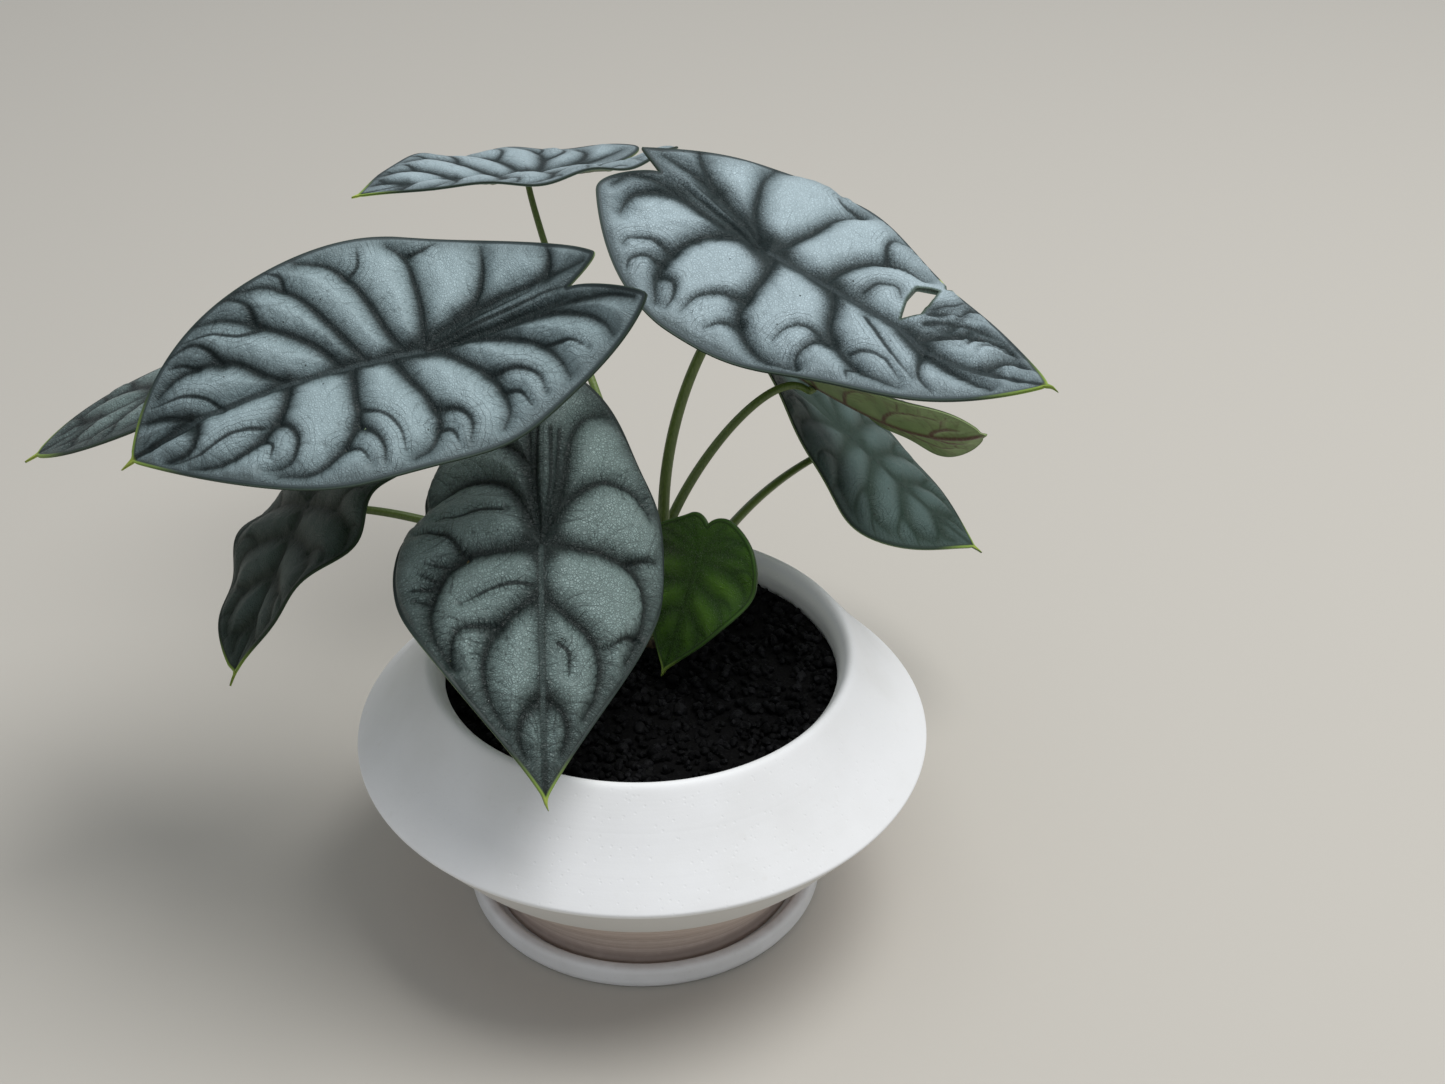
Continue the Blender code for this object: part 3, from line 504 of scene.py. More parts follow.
THICKNESS = 0.8
RIB_DEPTH = 0.7
RIB_WIDTH = 1.4
RIB_REACH = 6.0
MARGIN_REACH = 4.0
WAVES = 1.7
RIB_STEP = 1.5                 # length of one step along a rib or an arch
MUCRO_WIDTH = 0.9
RIM = 1.15                     # width of the smooth rim outside the vein that runs round the blade
EDGE_ROUND = 0.5               # the rim's edge is rounded off over this width

# Arches are the second ribs, each with its strength: "s" strong, "m" middling, "t" thin, "b" a broad dark
# smudge
LEAVES = {
    "leaf_left": dict(
        junction=(-66.1, -5.7, 218.8), heading=191.6, pitch=6.4, roll=-11.7,
        length=101.6, notch=50.3, half_width=(45.7, 46.5), widest=(22.3, 11.0),
        lobe=(72.0, 62.7), lobe_out=(24.0, 5.2), lobe_lean=(44, 31), tip_angle=47, front=0.42, back=0.40,
        droop=(15, 24, -41), fold=(-4, 19), fold_gain=(6, 10), curl=(11, 7), twist=-3, side_bend=-8,
        wave=0.4, wave_phase=(11, 5), quilt=1.7, mucro=(5, 0), tuck=(0.1, 0.6), dents=((0, -20, 2.0, 14),),
        ribs_left=(
            ((0, 0), (-15, 0), (-30, 1), (-43, 3), (-53, 8), (-62, 14), (-68, 21)),
            ((-30, 1), (-41, 5), (-51, 13), (-56, 21), (-57, 27)),
            ((-15, 0), (-26, 6), (-35, 14), (-39, 23), (-40, 31)),
            ((-4, 0), (-11, 8), (-17, 16), (-20, 25), (-20, 33), (-17, 38)),
            ((10, 0), (6, 10), (2, 19), (0, 29), (4, 38), (10, 41)),
            ((22, 0), (23, 12), (24, 22), (30, 31), (41, 37), (52, 34)),
            ((42, 0), (45, 9), (51, 16), (60, 21), (70, 22), (80, 18)),
            ((75, 0), (75, 6), (79, 11), (88, 10))),
        ribs_right=(
            ((0, 0), (-6, -5), (-15, -8), (-28, -10), (-45, -8), (-58, -5)),
            ((-45, -8), (-48, -13), (-49, -18)),
            ((-15, -8), (-22, -14), (-26, -22), (-28, -31)),
            ((-1, 0), (-3, -14), (-3, -25), (-2, -36), (3, -42)),
            ((5, 0), (9, -10), (12, -20), (16, -30), (22, -38), (31, -42)),
            ((17, 0), (22, -10), (27, -20), (33, -30), (41, -36), (50, -37)),
            ((25, 0), (30, -9), (37, -16), (46, -23), (56, -29), (64, -30)),
            ((42, 0), (49, -6), (56, -13), (65, -16), (74, -16), (83, -13)),
            ((75, 0), (82, -5), (91, -8))),
        arches=(
            ("s", (48, 14), (44, 19), (43, 25), (47, 31), (56, 31)),
            ("s", (24, 24), (20, 29), (18, 35), (19, 41)),
            ("s", (0, 24), (-6, 27), (-9, 33), (-7, 40)),
            ("s", (-18, 17), (-27, 20), (-32, 26), (-32, 33)),
            ("t", (53, 14), (63, 13), (74, 15), (86, 12)),
            ("t", (54, 19), (51, 23), (53, 28)),
            ("t", (22, 18), (15, 24), (12, 31), (12, 38)),
            ("t", (30, 31), (25, 34), (23, 40)),
            ("t", (1, 32), (-3, 34), (-4, 40)),
            ("t", (-20, 25), (-25, 28), (-27, 35)),
            ("t", (-36, 15), (-45, 20), (-49, 27)),
            ("s", (60, -14), (62, -20), (67, -24), (75, -23)),
            ("s", (47, -24), (47, -30), (51, -35), (57, -35)),
            ("m", (-2, -37), (-8, -37), (-14, -39)),
            ("t", (65, 0), (68, -5), (75, -9), (86, -11)),
            ("t", (68, -16), (71, -19), (76, -20)),
            ("t", (45, -22), (52, -21), (60, -25), (69, -26)),
            ("t", (36, -33), (36, -38), (40, -41)),
            ("t", (17, -32), (13, -35), (12, -42)),
            ("t", (-3, -1), (-20, -4), (-40, -3), (-52, 0)),
            ("t", (-3, 0), (-18, -1), (-36, 0), (-48, 3)),
            ("t", (-6, -3), (-20, -7), (-38, -7)),
            ("b", (77, 1), (92, 1))),
        grid=(330, 64), look="silver", bands=0.80, spine_band=(0.9, 1.5),
        stalk_slot=52, stalk_rise=(-2, 62, 172), stalk_reach=(-38, 38, 219), stalk_top=1.5),
    "leaf_right": dict(
        junction=(44.3, 43.5, 227.0), heading=-42.4, pitch=8.6, roll=8.7,
        length=121.0, notch=49.2, half_width=(48.0, 48.3), widest=(-7.2, -4.0),
        lobe=(59.6, 57.2), lobe_out=(2.2, 22.0), lobe_lean=(36, 48), tip_angle=40, front=0.20, back=0.32,
        droop=(10, -40, -25), fold=(0, -2), fold_gain=(-1, -5), curl=(16, 10), twist=-9, side_bend=-12,
        wave=2.4, wave_phase=(12, 153), quilt=1.8, mucro=(7, -3), tuck=(0.6, 0.3),
        dents=((0, -16, 2.5, 8),),
        midrib=((0, 0), (30, 0), (55, 0), (68, -3), (84, -3), (100, -1), (118, 0)),
        ribs_left=(
            ((0, 0), (-15, 6), (-30, 9), (-42, 9), (-53, 6)),
            ((-30, 9), (-41, 14), (-47, 18)),
            ((-3, 0), (-14, 10), (-21, 20), (-26, 30), (-27, 38)),
            ((1, 0), (3, 12), (4, 23), (4, 33), (9, 41)),
            ((24, 0), (24, 10), (27, 20), (34, 28), (44, 30)),
            ((66, 0), (70, 6), (76, 12), (86, 16), (96, 13)),
            ((94, 0), (95, 4), (99, 8), (106, 8))),
        ribs_right=(
            ((0, 0), (-20, -1), (-38, -2), (-48, -4), (-54, -9), (-55, -16)),
            ((-38, -2), (-45, -8), (-48, -15), (-46, -22)),
            ((-12, -1), (-19, -8), (-22, -16), (-22, -25), (-19, -34), (-12, -42)),
            ((3, 0), (7, -10), (9, -20), (12, -29), (20, -35), (31, -38), (42, -35)),
            ((28, 0), (34, -7), (39, -15), (48, -21), (60, -24), (74, -22)),
            ((60, -1), (72, -5), (86, -7), (102, -8))),
        arches=(
            ("b", (37, 5), (38, 12), (43, 15), (48, 11)),
            ("m", (31, 26), (26, 31), (25, 36), (28, 40)),
            ("t", (8, 41), (1, 40), (-5, 43)),
            ("s", (67, 27), (67, 22), (67, 18)),
            ("t", (62, 6), (66, 11), (74, 17), (84, 19)),
            ("t", (60, 11), (64, 16), (69, 20)),
            ("b", (59, 14), (62, 24), (61, 31)),
            ("s", (44, -20), (40, -24), (39, -32), (42, -35)),
            ("s", (9, -22), (1, -27), (-3, -33), (-3, -41)),
            ("m", (70, -4), (73, -10), (78, -16), (86, -19)),
            ("m", (42, -20), (33, -20), (29, -24), (28, -31)),
            ("m", (15, -31), (10, -35), (7, -41)),
            ("m", (-19, -32), (-13, -32), (-9, -37), (-8, -42)),
            ("m", (-22, -22), (-30, -23), (-36, -28), (-36, -31)),
            ("m", (-21, -28), (-27, -29), (-30, -34), (-28, -38)),
            ("t", (45, -4), (55, -9), (64, -13), (76, -17)),
            ("t", (52, -20), (56, -17), (63, -16), (72, -19)),
            ("t", (58, -24), (56, -27), (59, -30)),
            ("t", (-4, 0), (-20, 2), (-40, 2)),
            ("t", (-5, 2), (-20, 5), (-38, 6))),
        crumpled=((76, 12), (17, 8)), grid=(310, 58), look="bright", bands=1.05, spine_band=(1.5, 2.4),
        stalk_slot=12, stalk_rise=(-3, 34, 148), stalk_reach=(21, 65, 199), stalk_top=1.6,
        nick=((47.5, 36.5), (54.0, 28.0), (54.5, 34.8)),
        tear=((54.2, 3.6), (49.8, 12), (47.6, 20), (53.2, 24.6), (55.4, 19), (58.2, 8.2))),
    "leaf_front": dict(
        junction=(-30.8, -33.8, 164.3), heading=-89.5, pitch=26.4, roll=-4.4,
        length=82.0, notch=54.0, half_width=(48.1, 50.5), widest=(3.0, 0.5),
        lobe=(67.6, 69.4), lobe_out=(15.0, 22.0), lobe_lean=(38, 30), tip_angle=31, front=0.34, back=0.47,
        droop=(31, 2, 9), fold=(-11, -6), fold_gain=(-5, 20), curl=(38, 32), twist=-8, side_bend=2,
        wave=-3.7, wave_phase=(61, -62), quilt=1.9, mucro=(3, 1),
        dents=((0, -42, -2.5, 14), (1, -24, -5.0, 7)),
        ribs_left=(
            ((0, 0), (-14, 5), (-28, 8), (-43, 10), (-52, 15), (-55, 22)),
            ((-4, 1), (-14, 6), (-23, 14), (-28, 23), (-26, 33), (-20, 39)),
            ((-1, 0), (-1, 12), (-1, 24), (2, 34), (12, 39), (25, 37), (37, 31)),
            ((18, 0), (23, 8), (29, 16), (37, 20), (48, 19), (57, 14)),
            ((50, 0), (54, 6), (61, 8), (68, 6))),
        ribs_right=(
            ((0, 0), (-16, -3), (-32, -4), (-48, -5), (-58, -12)),
            ((-32, -4), (-42, -12), (-47, -22), (-46, -31)),
            ((-4, -1), (-16, -6), (-25, -12), (-30, -22), (-30, -32), (-28, -38)),
            ((0, 0), (1, -13), (2, -23), (8, -31), (18, -35), (30, -34), (42, -27)),
            ((17, 0), (22, -7), (29, -14), (39, -18), (50, -17), (60, -12)),
            ((50, 0), (55, -6), (62, -8), (69, -6))),
        arches=(
            ("m", (-1, 31), (-4, 37), (-5, 42)),
            ("m", (27, 37), (28, 29), (33, 22)),
            ("t", (33, 5), (36, 8), (43, 8)),
            ("s", (28, -13), (28, -21), (31, -27), (41, -29)),
            ("m", (3, -24), (-5, -29), (-9, -36), (-10, -42)),
            ("t", (14, -3), (14, -10), (17, -18), (20, -24)),
            ("t", (-14, -12), (-15, -20), (-14, -27), (-15, -35)),
            ("t", (5, -30), (3, -38)),
            ("t", (10, -33), (6, -40)),
            ("t", (12, -35), (12, -42)),
            ("t", (17, -36), (16, -40)),
            ("t", (-45, 3), (-25, 3), (-5, 1)),
            ("t", (-45, 6), (-25, 5), (-9, 3)),
            ("t", (-46, -1), (-25, -2), (-5, 0))),
        grid=(320, 64), look="shaded", bands=0.85, spine_band=(1.1, 1.4),
        stalk_slot=252, stalk_rise=(1, 15, 128), stalk_reach=(-33, -13, 146), stalk_top=1.5),
    "leaf_top": dict(
        junction=(-40.5, 184.9, 193.0), heading=209.1, pitch=-10.0, roll=13.1,
        length=74.8, notch=37.2, half_width=(43.2, 43.7), widest=(5.1, 7.8),
        lobe=(58.2, 56.7), lobe_out=(20.2, 13.4), lobe_lean=(28, 29), tip_angle=37, front=0.48, back=0.47,
        droop=(-1, 8, -12), fold=(12, 13), fold_gain=(-4, -3), curl=(8, 15), twist=-3, side_bend=5,
        wave=-1.8, wave_phase=(-54, 19), mucro=(2, 0), look="bright",
        stalk_slot=132, stalk_rise=(8, 24, 142), stalk_reach=(-10, 140, 86)),
    "leaf_far_left": dict(
        junction=(-126.6, 40.6, 194.7), heading=186.1, pitch=16.5, roll=9.7,
        length=84.4, notch=37.0, half_width=(39.3, 39.3), widest=(3, 3),
        lobe=(54.7, 54.7), lobe_out=(17, 17), lobe_lean=(29, 29), tip_angle=56, front=0.42, back=0.45,
        droop=(19, -7, 0), fold=(9, 4), fold_gain=(-4, 0), curl=(9, 22), twist=-6, side_bend=-2,
        wave=0.1, wave_phase=(0, 0), mucro=(4, 0), look="shaded",
        stalk_slot=172, stalk_rise=(-12, 33, 191), stalk_reach=(-90, 43, 181)),
    "leaf_low_left": dict(
        junction=(-113.4, 31.4, 140.7), heading=237.4, pitch=37.5, roll=28.1,
        length=63.7, notch=37.4, half_width=(42.0, 41.0), widest=(-3.7, -1.6),
        lobe=(55.1, 55.1), lobe_out=(17, 17), lobe_lean=(29, 29), tip_angle=63, front=0.40, back=0.44,
        droop=(21, -15, 0), fold=(7, 6), fold_gain=(16, 15), curl=(17, 27), twist=2, side_bend=-4.5,
        wave=-4.1, wave_phase=(-35, 118), mucro=(4, 5), look="dark",
        stalk_slot=212, stalk_rise=(-15, 12, 124), stalk_reach=(-92, 52, 136)),
    "leaf_low_right": dict(
        junction=(81.9, 113.4, 114.7), heading=-26.9, pitch=36.0, roll=-11.2,
        length=65.3, notch=36.2, half_width=(39.9, 40.5), widest=(8.6, 13.9),
        lobe=(53.3, 53.1), lobe_out=(16.5, 15.6), lobe_lean=(29, 31), tip_angle=44, front=0.48, back=0.44,
        droop=(2, -6, -2), fold=(4, 6), fold_gain=(-10, -20), curl=(22, 17), twist=7, side_bend=1.3,
        wave=0.7, wave_phase=(-1, 67), mucro=(3, 0), look="dull",
        stalk_slot=332, stalk_rise=(20, 20, 133), stalk_reach=(59, 121, 100)),
    "leaf_under_right": dict(
        junction=(64.4, 77.4, 158.0), heading=-43.5, pitch=6.5, roll=-36.7,
        length=75.5, notch=32.0, half_width=(34.2, 33.7), widest=(4.1, 3.9),
        lobe=(47.2, 47.2), lobe_out=(14.6, 14.6), lobe_lean=(29, 29), tip_angle=58, front=0.44, back=0.45,
        droop=(6, -32, 0), fold=(18, 19), fold_gain=(-5, 0), curl=(31, 35), twist=-19, side_bend=-10.4,
        wave=-1.5, wave_phase=(6, 22), mucro=(1, 0), look="shaded",
        stalk_slot=92, stalk_rise=(-4, 49, 120), stalk_reach=(61, 93, 183)),
    "leaf_small": dict(
        junction=(19.8, -2.1, 137.3), heading=-126.0, pitch=63.1, roll=7.7,
        length=43.6, notch=11.5, half_width=(24.6, 24.7), widest=(-0.5, 1.9),
        lobe=(14.8, 13.1), lobe_out=(10.6, 7.9), lobe_lean=(22, 36), tip_angle=36, front=0.40, back=0.45,
        droop=(14, -2, -1), fold=(6, 5), fold_gain=(1, 0), curl=(20, 20), twist=3, side_bend=-6.3,
        wave=-2.1, wave_phase=(-29, -1), quilt=0.7, mucro=(2, 0), grid=(170, 34), look="young",
        stalk_slot=292, stalk_rise=(10, 17, 111), stalk_reach=(30, 9, 136)),
}
COMMON = dict(quilt=1.2, stalk_top=1.2, nick=None, tear=None, dents=(), tuck=(0.6, 0.6), arches=(),
              crumpled=None, grid=(220, 42), bands=0.9, spine_band=(1.0, 1.6))
SHARED_RIBS = (
    ((0.0, 0.0), (-0.35, 0.10), (-0.65, 0.19), (-0.88, 0.28)),
    ((-0.38, 0.11), (-0.55, 0.26), (-0.65, 0.44), (-0.65, 0.60)),
    ((-0.06, 0.02), (-0.20, 0.22), (-0.31, 0.46), (-0.34, 0.70), (-0.26, 0.84)),
    ((0.02, 0.0), (0.02, 0.30), (0.04, 0.60), (0.13, 0.82), (0.27, 0.86)),
    ((0.20, 0.0), (0.23, 0.24), (0.29, 0.48), (0.40, 0.66), (0.53, 0.66)),
    ((0.43, 0.0), (0.47, 0.18), (0.55, 0.34), (0.67, 0.39), (0.78, 0.32)),
    ((0.70, 0.0), (0.74, 0.10), (0.81, 0.15), (0.88, 0.12)))
# an arch's strength: how far its dark band reaches, how dark it is, and how deep its groove is
ARCHES = {"s": (2.8, 0.92, 0.65), "m": (2.2, 0.86, 0.55), "t": (1.3, 0.66, 0.38), "b": (3.8, 0.72, 0.10)}


def even(line, spacing=None, count=None):
    """The same curve with its points one spacing apart, or with that many points."""
    run = np.concatenate([[0], np.cumsum(np.linalg.norm(np.diff(line, axis=0), axis=1))])
    stops = np.linspace(0, run[-1], count or max(2, round(run[-1] / spacing) + 1))
    return np.stack([np.interp(stops, run, line[:, k]) for k in range(line.shape[1])], 1)


def smooth(places, spacing):
    """A smooth curve through a few places, in the Catmull-Rom way, its points about one spacing apart."""
    places = np.array(places, float)
    places = np.concatenate([2 * places[:1] - places[1:2], places, 2 * places[-1:] - places[-2:-1]])
    t = np.linspace(0, 1, 8, endpoint=False)[:, None]
    parts = [b + 0.5 * t * (c - a + t * (2 * a - 5 * b + 4 * c - d + t * (3 * b - a - 3 * c + d)))
             for a, b, c, d in zip(places, places[1:], places[2:], places[3:])]
    return even(np.concatenate([*parts, places[-2:-1]]), spacing)


def margin_edges(leaf, side):
    """Three curves of one side's margin: mucro to widest place, on to the lobe's end, on to the notch. The
    first two are pushed out by a dent's height times a bell of its length."""
    wide_u, wide_v = leaf["widest"][side], leaf["half_width"][side]
    back_u, back_v = leaf["lobe"][side], leaf["lobe_out"][side]
    tip_slope, lean = math.radians(leaf["tip_angle"]), math.radians(leaf["lobe_lean"][side])
    tip, wide = np.array([leaf["length"], 0.0]), np.array([wide_u, wide_v])
    lobe, notch = np.array([-back_u, back_v]), np.array([-leaf["notch"], 0.0])
    ahead, behind = leaf["length"] - wide_u, wide_u + back_u
    outward, forward = np.array([math.sin(lean), math.cos(lean)]), np.array([1.0, 0.0])
    edges = [bezier(edge, 200) for edge in (
        (tip, tip + 0.33 * ahead * np.array([-math.cos(tip_slope), math.sin(tip_slope)]),
         wide + leaf["front"] * ahead * forward, wide),
        (wide, wide - leaf["back"] * behind * forward, lobe + 0.45 * (wide_v - back_v) * outward, lobe),
        (lobe, lobe - leaf["tuck"][side] * back_v * outward,
         notch + 0.35 * (back_u - leaf["notch"]) * np.array([-math.cos(0.3), math.sin(0.3)]), notch))]
    onward, aside = leaf["mucro"]
    point = [(leaf["length"] + onward, aside if side == 0 else -aside),
             (leaf["length"] + 0.3 * onward, 0.45 * MUCRO_WIDTH + 0.2 * (aside if side == 0 else -aside)),
             (leaf["length"] - 1.2, MUCRO_WIDTH)]
    blunt = edges[0][edges[0][:, 0] < leaf["length"] - 2.2]
    edges[0] = np.concatenate([smooth(point, 0.3), blunt])
    for dent_side, place, out, reach in leaf["dents"]:
        for edge in edges:
            if dent_side == side:
                bell = np.exp(-((edge[:, 0] - place) / reach) ** 2)
                edge[:, 1] += out * bell * np.clip(edge[:, 1] / wide_v, 0, 1)
    return [edge * (1, 1 if side == 0 else -1) for edge in edges]


def margin_line(leaf, side):
    edges = margin_edges(leaf, side)
    return np.concatenate([edges[0], edges[1][1:], edges[2][1:]])


def inset(line, distance, turn):
    """A line moved sideways by that distance, square to its own direction."""
    ahead = np.gradient(line, axis=0)
    ahead /= np.maximum(np.linalg.norm(ahead, axis=1), 1e-9)[:, None]
    return line + distance * turn * np.stack([-ahead[:, 1], ahead[:, 0]], 1)


def flat_grid(leaf):
    """The blade laid flat: row i joins a place on the left margin, one on the midrib and one on the right
    margin. Columns are closer together near the midrib and the margins: share = t - 0.5 sin(2 pi t) / 2
    pi."""
    rows, columns = leaf["grid"]
    edges = [margin_edges(leaf, side) for side in (0, 1)]
    spans = [sum(np.linalg.norm(np.diff(edges[s][k], axis=0), axis=1).sum() for s in (0, 1))
             for k in range(3)]
    counts = [max(8, round(rows * span / sum(spans))) for span in spans]
    counts[1] = rows - counts[0] - counts[2]
    keys = (leaf["length"], min(leaf["widest"]) * 0.4 - 3, -0.55 * leaf["notch"], -leaf["notch"])
    margins = []
    for s in (0, 1):
        parts = [even(edges[s][k], count=counts[k] + 1) for k in range(3)]
        margins.append(np.concatenate([parts[0], parts[1][1:], parts[2][1:]]))
    spine = np.concatenate([np.linspace(keys[k], keys[k + 1], counts[k] + 1)[(k > 0):] for k in range(3)])
    kernel = np.hanning(31) / np.hanning(31).sum()
    padded = np.concatenate([2 * spine[0] - spine[15:0:-1], spine, 2 * spine[-1] - spine[-2:-17:-1]])
    spine = np.convolve(padded, kernel, "valid")
    spine = np.stack([spine, 0 * spine], 1)
    middle = (margins[0] + margins[1]) / 2
    near_tip = np.clip((middle[:, 0:1] - leaf["length"] + 4) / 5, 0, 1)
    spine += near_tip * (middle - spine)
    t = np.linspace(0, 1, columns + 1)
    share = (t - 0.5 * np.sin(2 * math.pi * t) / (2 * math.pi))[None, :, None]
    left = spine[:, None] + share[:, ::-1] * (margins[0] - spine)[:, None]
    right = spine[:, None] + share[:, 1:] * (margins[1] - spine)[:, None]
    return np.concatenate([left, right], 1)


def main_ribs(leaf):
    """The midrib, then for each side the back lobe's rib and the side ribs from the back to the tip."""
    straight = ((0, 0), (leaf["length"] / 2, 0), (leaf["length"] - 1, 0))
    midrib = smooth(leaf.get("midrib", straight), RIB_STEP)
    sides = []
    for side, key in ((0, "ribs_left"), (1, "ribs_right")):
        routes = leaf.get(key)
        if routes is None:
            out = leaf["half_width"][side] * (1 if side == 0 else -1)
            routes = [[(u * (leaf["length"] if u > 0 else leaf["lobe"][side]), v * out) for u, v in route]
                      for route in SHARED_RIBS]
        sides.append([smooth(route, RIB_STEP) for route in routes])
    return midrib, sides


def loop_ribs(leaf, sides):
    """Arches of a leaf that lists none: in the outer half of each panel one or two that leave the rib
    nearer the tip, bow towards the base and come down to the margin."""
    loops = []
    for side in (0, 1):
        turn = 1 if side == 0 else -1
        round_vein = inset(even(margin_line(leaf, side), 1.0), RIM, turn)
        ribs = sides[side][:0:-1]
        ends = [np.argmin(np.linalg.norm(round_vein - rib[-1], axis=1)) for rib in ribs]
        for near, end, next_end in zip(ribs, ends, ends[1:]):
            span = next_end - end
            for strength, leave, land in (("m", 0.50, 0.66), ("t", 0.76, 0.34)):
                if span < (9 if leave < 0.7 else 20):
                    continue
                at = near[round(leave * (len(near) - 1))]
                ahead = near[min(len(near) - 1, round(leave * (len(near) - 1)) + 2)] - at
                ahead /= max(np.linalg.norm(ahead), 1e-6)
                swing = turn * math.radians(72)
                away = np.array([ahead[0] * math.cos(swing) - ahead[1] * math.sin(swing),
                                 ahead[0] * math.sin(swing) + ahead[1] * math.cos(swing)])
                foot = round_vein[round(end + land * span)]
                reach = np.linalg.norm(foot - at)
                outward = near[-1] - near[len(near) // 2]
                outward /= max(np.linalg.norm(outward), 1e-6)
                curve = bezier((at, at + 0.5 * reach * away, foot - 0.45 * reach * outward, foot), 30)
                loops.append((strength, even(curve, RIB_STEP)))
    return loops


def fine_ribs(ribs, grain):
    """Third ribs: short thin lines that leave the others to both sides every few millimetres and curve
    towards the margin, each with its own length and lean."""
    lines = []
    for rib in ribs:
        length = RIB_STEP * (len(rib) - 1)
        count = int(length / 3.6)
        for way in (-1, 1):
            stops = (np.arange(count) + grain.uniform(0.2, 0.8, count)) / max(count, 1)
            for stop in stops[(stops > 0.1) & (stops < 0.93)]:
                spot = round(stop * (len(rib) - 1))
                at = rib[spot]
                ahead = rib[min(len(rib) - 1, spot + 1)] - rib[max(0, spot - 1)]
                ahead /= max(np.linalg.norm(ahead), 1e-6)
                across = way * np.array([-ahead[1], ahead[0]])
                reach = grain.uniform(4.5, 14.0)
                lean = grain.uniform(0.20, 0.90)
                end = at + across * reach + ahead * reach * lean * 1.4
                lines.append(bezier((at, at + across * reach * 0.5, end - ahead * reach * 0.35, end), 7))
    return lines


def measure(points, line):
    """For each point its distance to a line, and how far along the line its nearest place is."""
    start, step = line[:-1], np.diff(line, axis=0)
    length = np.maximum(np.linalg.norm(step, axis=1), 1e-9)
    offset = points[:, None] - start
    share = np.clip((offset * step).sum(-1) / length ** 2, 0, 1)
    apart = np.linalg.norm(offset - share[..., None] * step, axis=-1)
    nearest = apart.argmin(1)
    here = np.arange(len(points))
    run = np.concatenate([[0], np.cumsum(length)])
    return apart[here, nearest], run[nearest] + share[here, nearest] * length[nearest]


def near_lines(points, lines, reach):
    """Distance to the nearest of many short lines, the run along it in millimetres and as a share of its
    length, worked out only within reach of each."""
    distance = np.full(len(points), reach)
    along = np.zeros(len(points))
    share = np.ones(len(points))
    for k, line in enumerate(lines):
        low, high = line.min(0) - reach, line.max(0) + reach
        close = np.flatnonzero(((points > low) & (points < high)).all(1))
        apart, run = measure(points[close], line)
        total = np.linalg.norm(np.diff(line, axis=0), axis=1).sum()
        better = apart < distance[close]
        chosen = close[better]
        distance[chosen] = apart[better]
        along[chosen] = run[better] + 37.0 * k
        share[chosen] = run[better] / total
    return distance, along, share


def shaped(leaf, points):
    """Points of the flat blade carried onto the bent one. The midrib's slope is droop[0] f + droop[1] f f
    ahead of the junction, f being the share of the length, and -droop[2] b behind it. Each half is then
    folded up by fold + fold_gain f, curled down on an arc, waved at the margin, and the whole is twisted
    along the midrib."""
    u, v = points[:, 0], points[:, 1]
    length, lobe = leaf["length"], sum(leaf["lobe"]) / 2
    sag, tip_sag, back_sag = (math.radians(angle) for angle in leaf["droop"])
    runs = np.linspace(-1.4 * lobe, 1.15 * length, 601)
    ahead, behind = np.clip(runs / length, 0, None), np.clip(-runs / lobe, 0, None)
    slope = sag * ahead + tip_sag * ahead ** 2 - back_sag * behind
    step = runs[1] - runs[0]
    rib_x = np.concatenate([[0], np.cumsum((np.cos(slope[1:]) + np.cos(slope[:-1])) / 2 * step)])
    rib_z = np.concatenate([[0], np.cumsum(-(np.sin(slope[1:]) + np.sin(slope[:-1])) / 2 * step)])
    rib_x -= np.interp(0, runs, rib_x)
    rib_z -= np.interp(0, runs, rib_z)
    slope = np.interp(u, runs, slope)

    left = v >= 0
    half_width = np.where(left, *leaf["half_width"])
    share = np.clip(u / length, -1, 1)
    fold = np.radians(np.where(left, *leaf["fold"]) + np.where(left, *leaf["fold_gain"]) * share)
    half_curl = 0.5 * np.radians(np.where(left, *leaf["curl"])) * np.abs(v) / half_width
    chord = np.abs(v) * np.sinc(half_curl / math.pi)
    y = np.sign(v) * chord * np.cos(fold - half_curl)
    phase = np.radians(np.where(left, *leaf["wave_phase"]))
    z = chord * np.sin(fold - half_curl)
    z += leaf["wave"] * (v / half_width) ** 2 * np.sin(2 * math.pi * WAVES * u / length + phase)
    y += leaf["side_bend"] * np.clip(u / length, 0, 2) ** 2
    twist = math.radians(leaf["twist"]) * share
    y, z = y * np.cos(twist) - z * np.sin(twist), y * np.sin(twist) + z * np.cos(twist)
    return np.stack([np.interp(u, runs, rib_x) + np.sin(slope) * z, y,
                     np.interp(u, runs, rib_z) + np.cos(slope) * z], 1)


def inside(points, polygon):
    """Which points lie in a polygon."""
    x, y = points[:, 0:1], points[:, 1:2]
    x0, y0 = polygon.T
    x1, y1 = np.roll(polygon, -1, axis=0).T
    crosses = (y0 > y) != (y1 > y)
    at = x0 + (y - y0) * (x1 - x0) / np.where(y1 == y0, 1e-12, y1 - y0)
    return (crosses & (x < at)).sum(1) % 2 == 1


def nearest_on(points, polygon):
    """The nearest place on a closed polygon's outline to each point."""
    start, end = polygon, np.roll(polygon, -1, axis=0)
    step = end - start
    offset = points[:, None] - start
    share = np.clip((offset * step).sum(-1) / (step ** 2).sum(-1), 0, 1)
    places_on = start + share[..., None] * step
    pick = np.linalg.norm(points[:, None] - places_on, axis=-1).argmin(1)
    return places_on[np.arange(len(points)), pick]


def open_edges(faces):
    """The edges that only one face uses, as (from, to) pairs in that face's order."""
    pairs = np.stack([faces, np.roll(faces, -1, axis=1)], -1).reshape(-1, 2)
    size = faces.max() + 1
    key = np.minimum(pairs[:, 0], pairs[:, 1]) * size + np.maximum(pairs[:, 0], pairs[:, 1])
    _, first, count = np.unique(key, return_index=True, return_counts=True)
    return pairs[first[count == 1]]


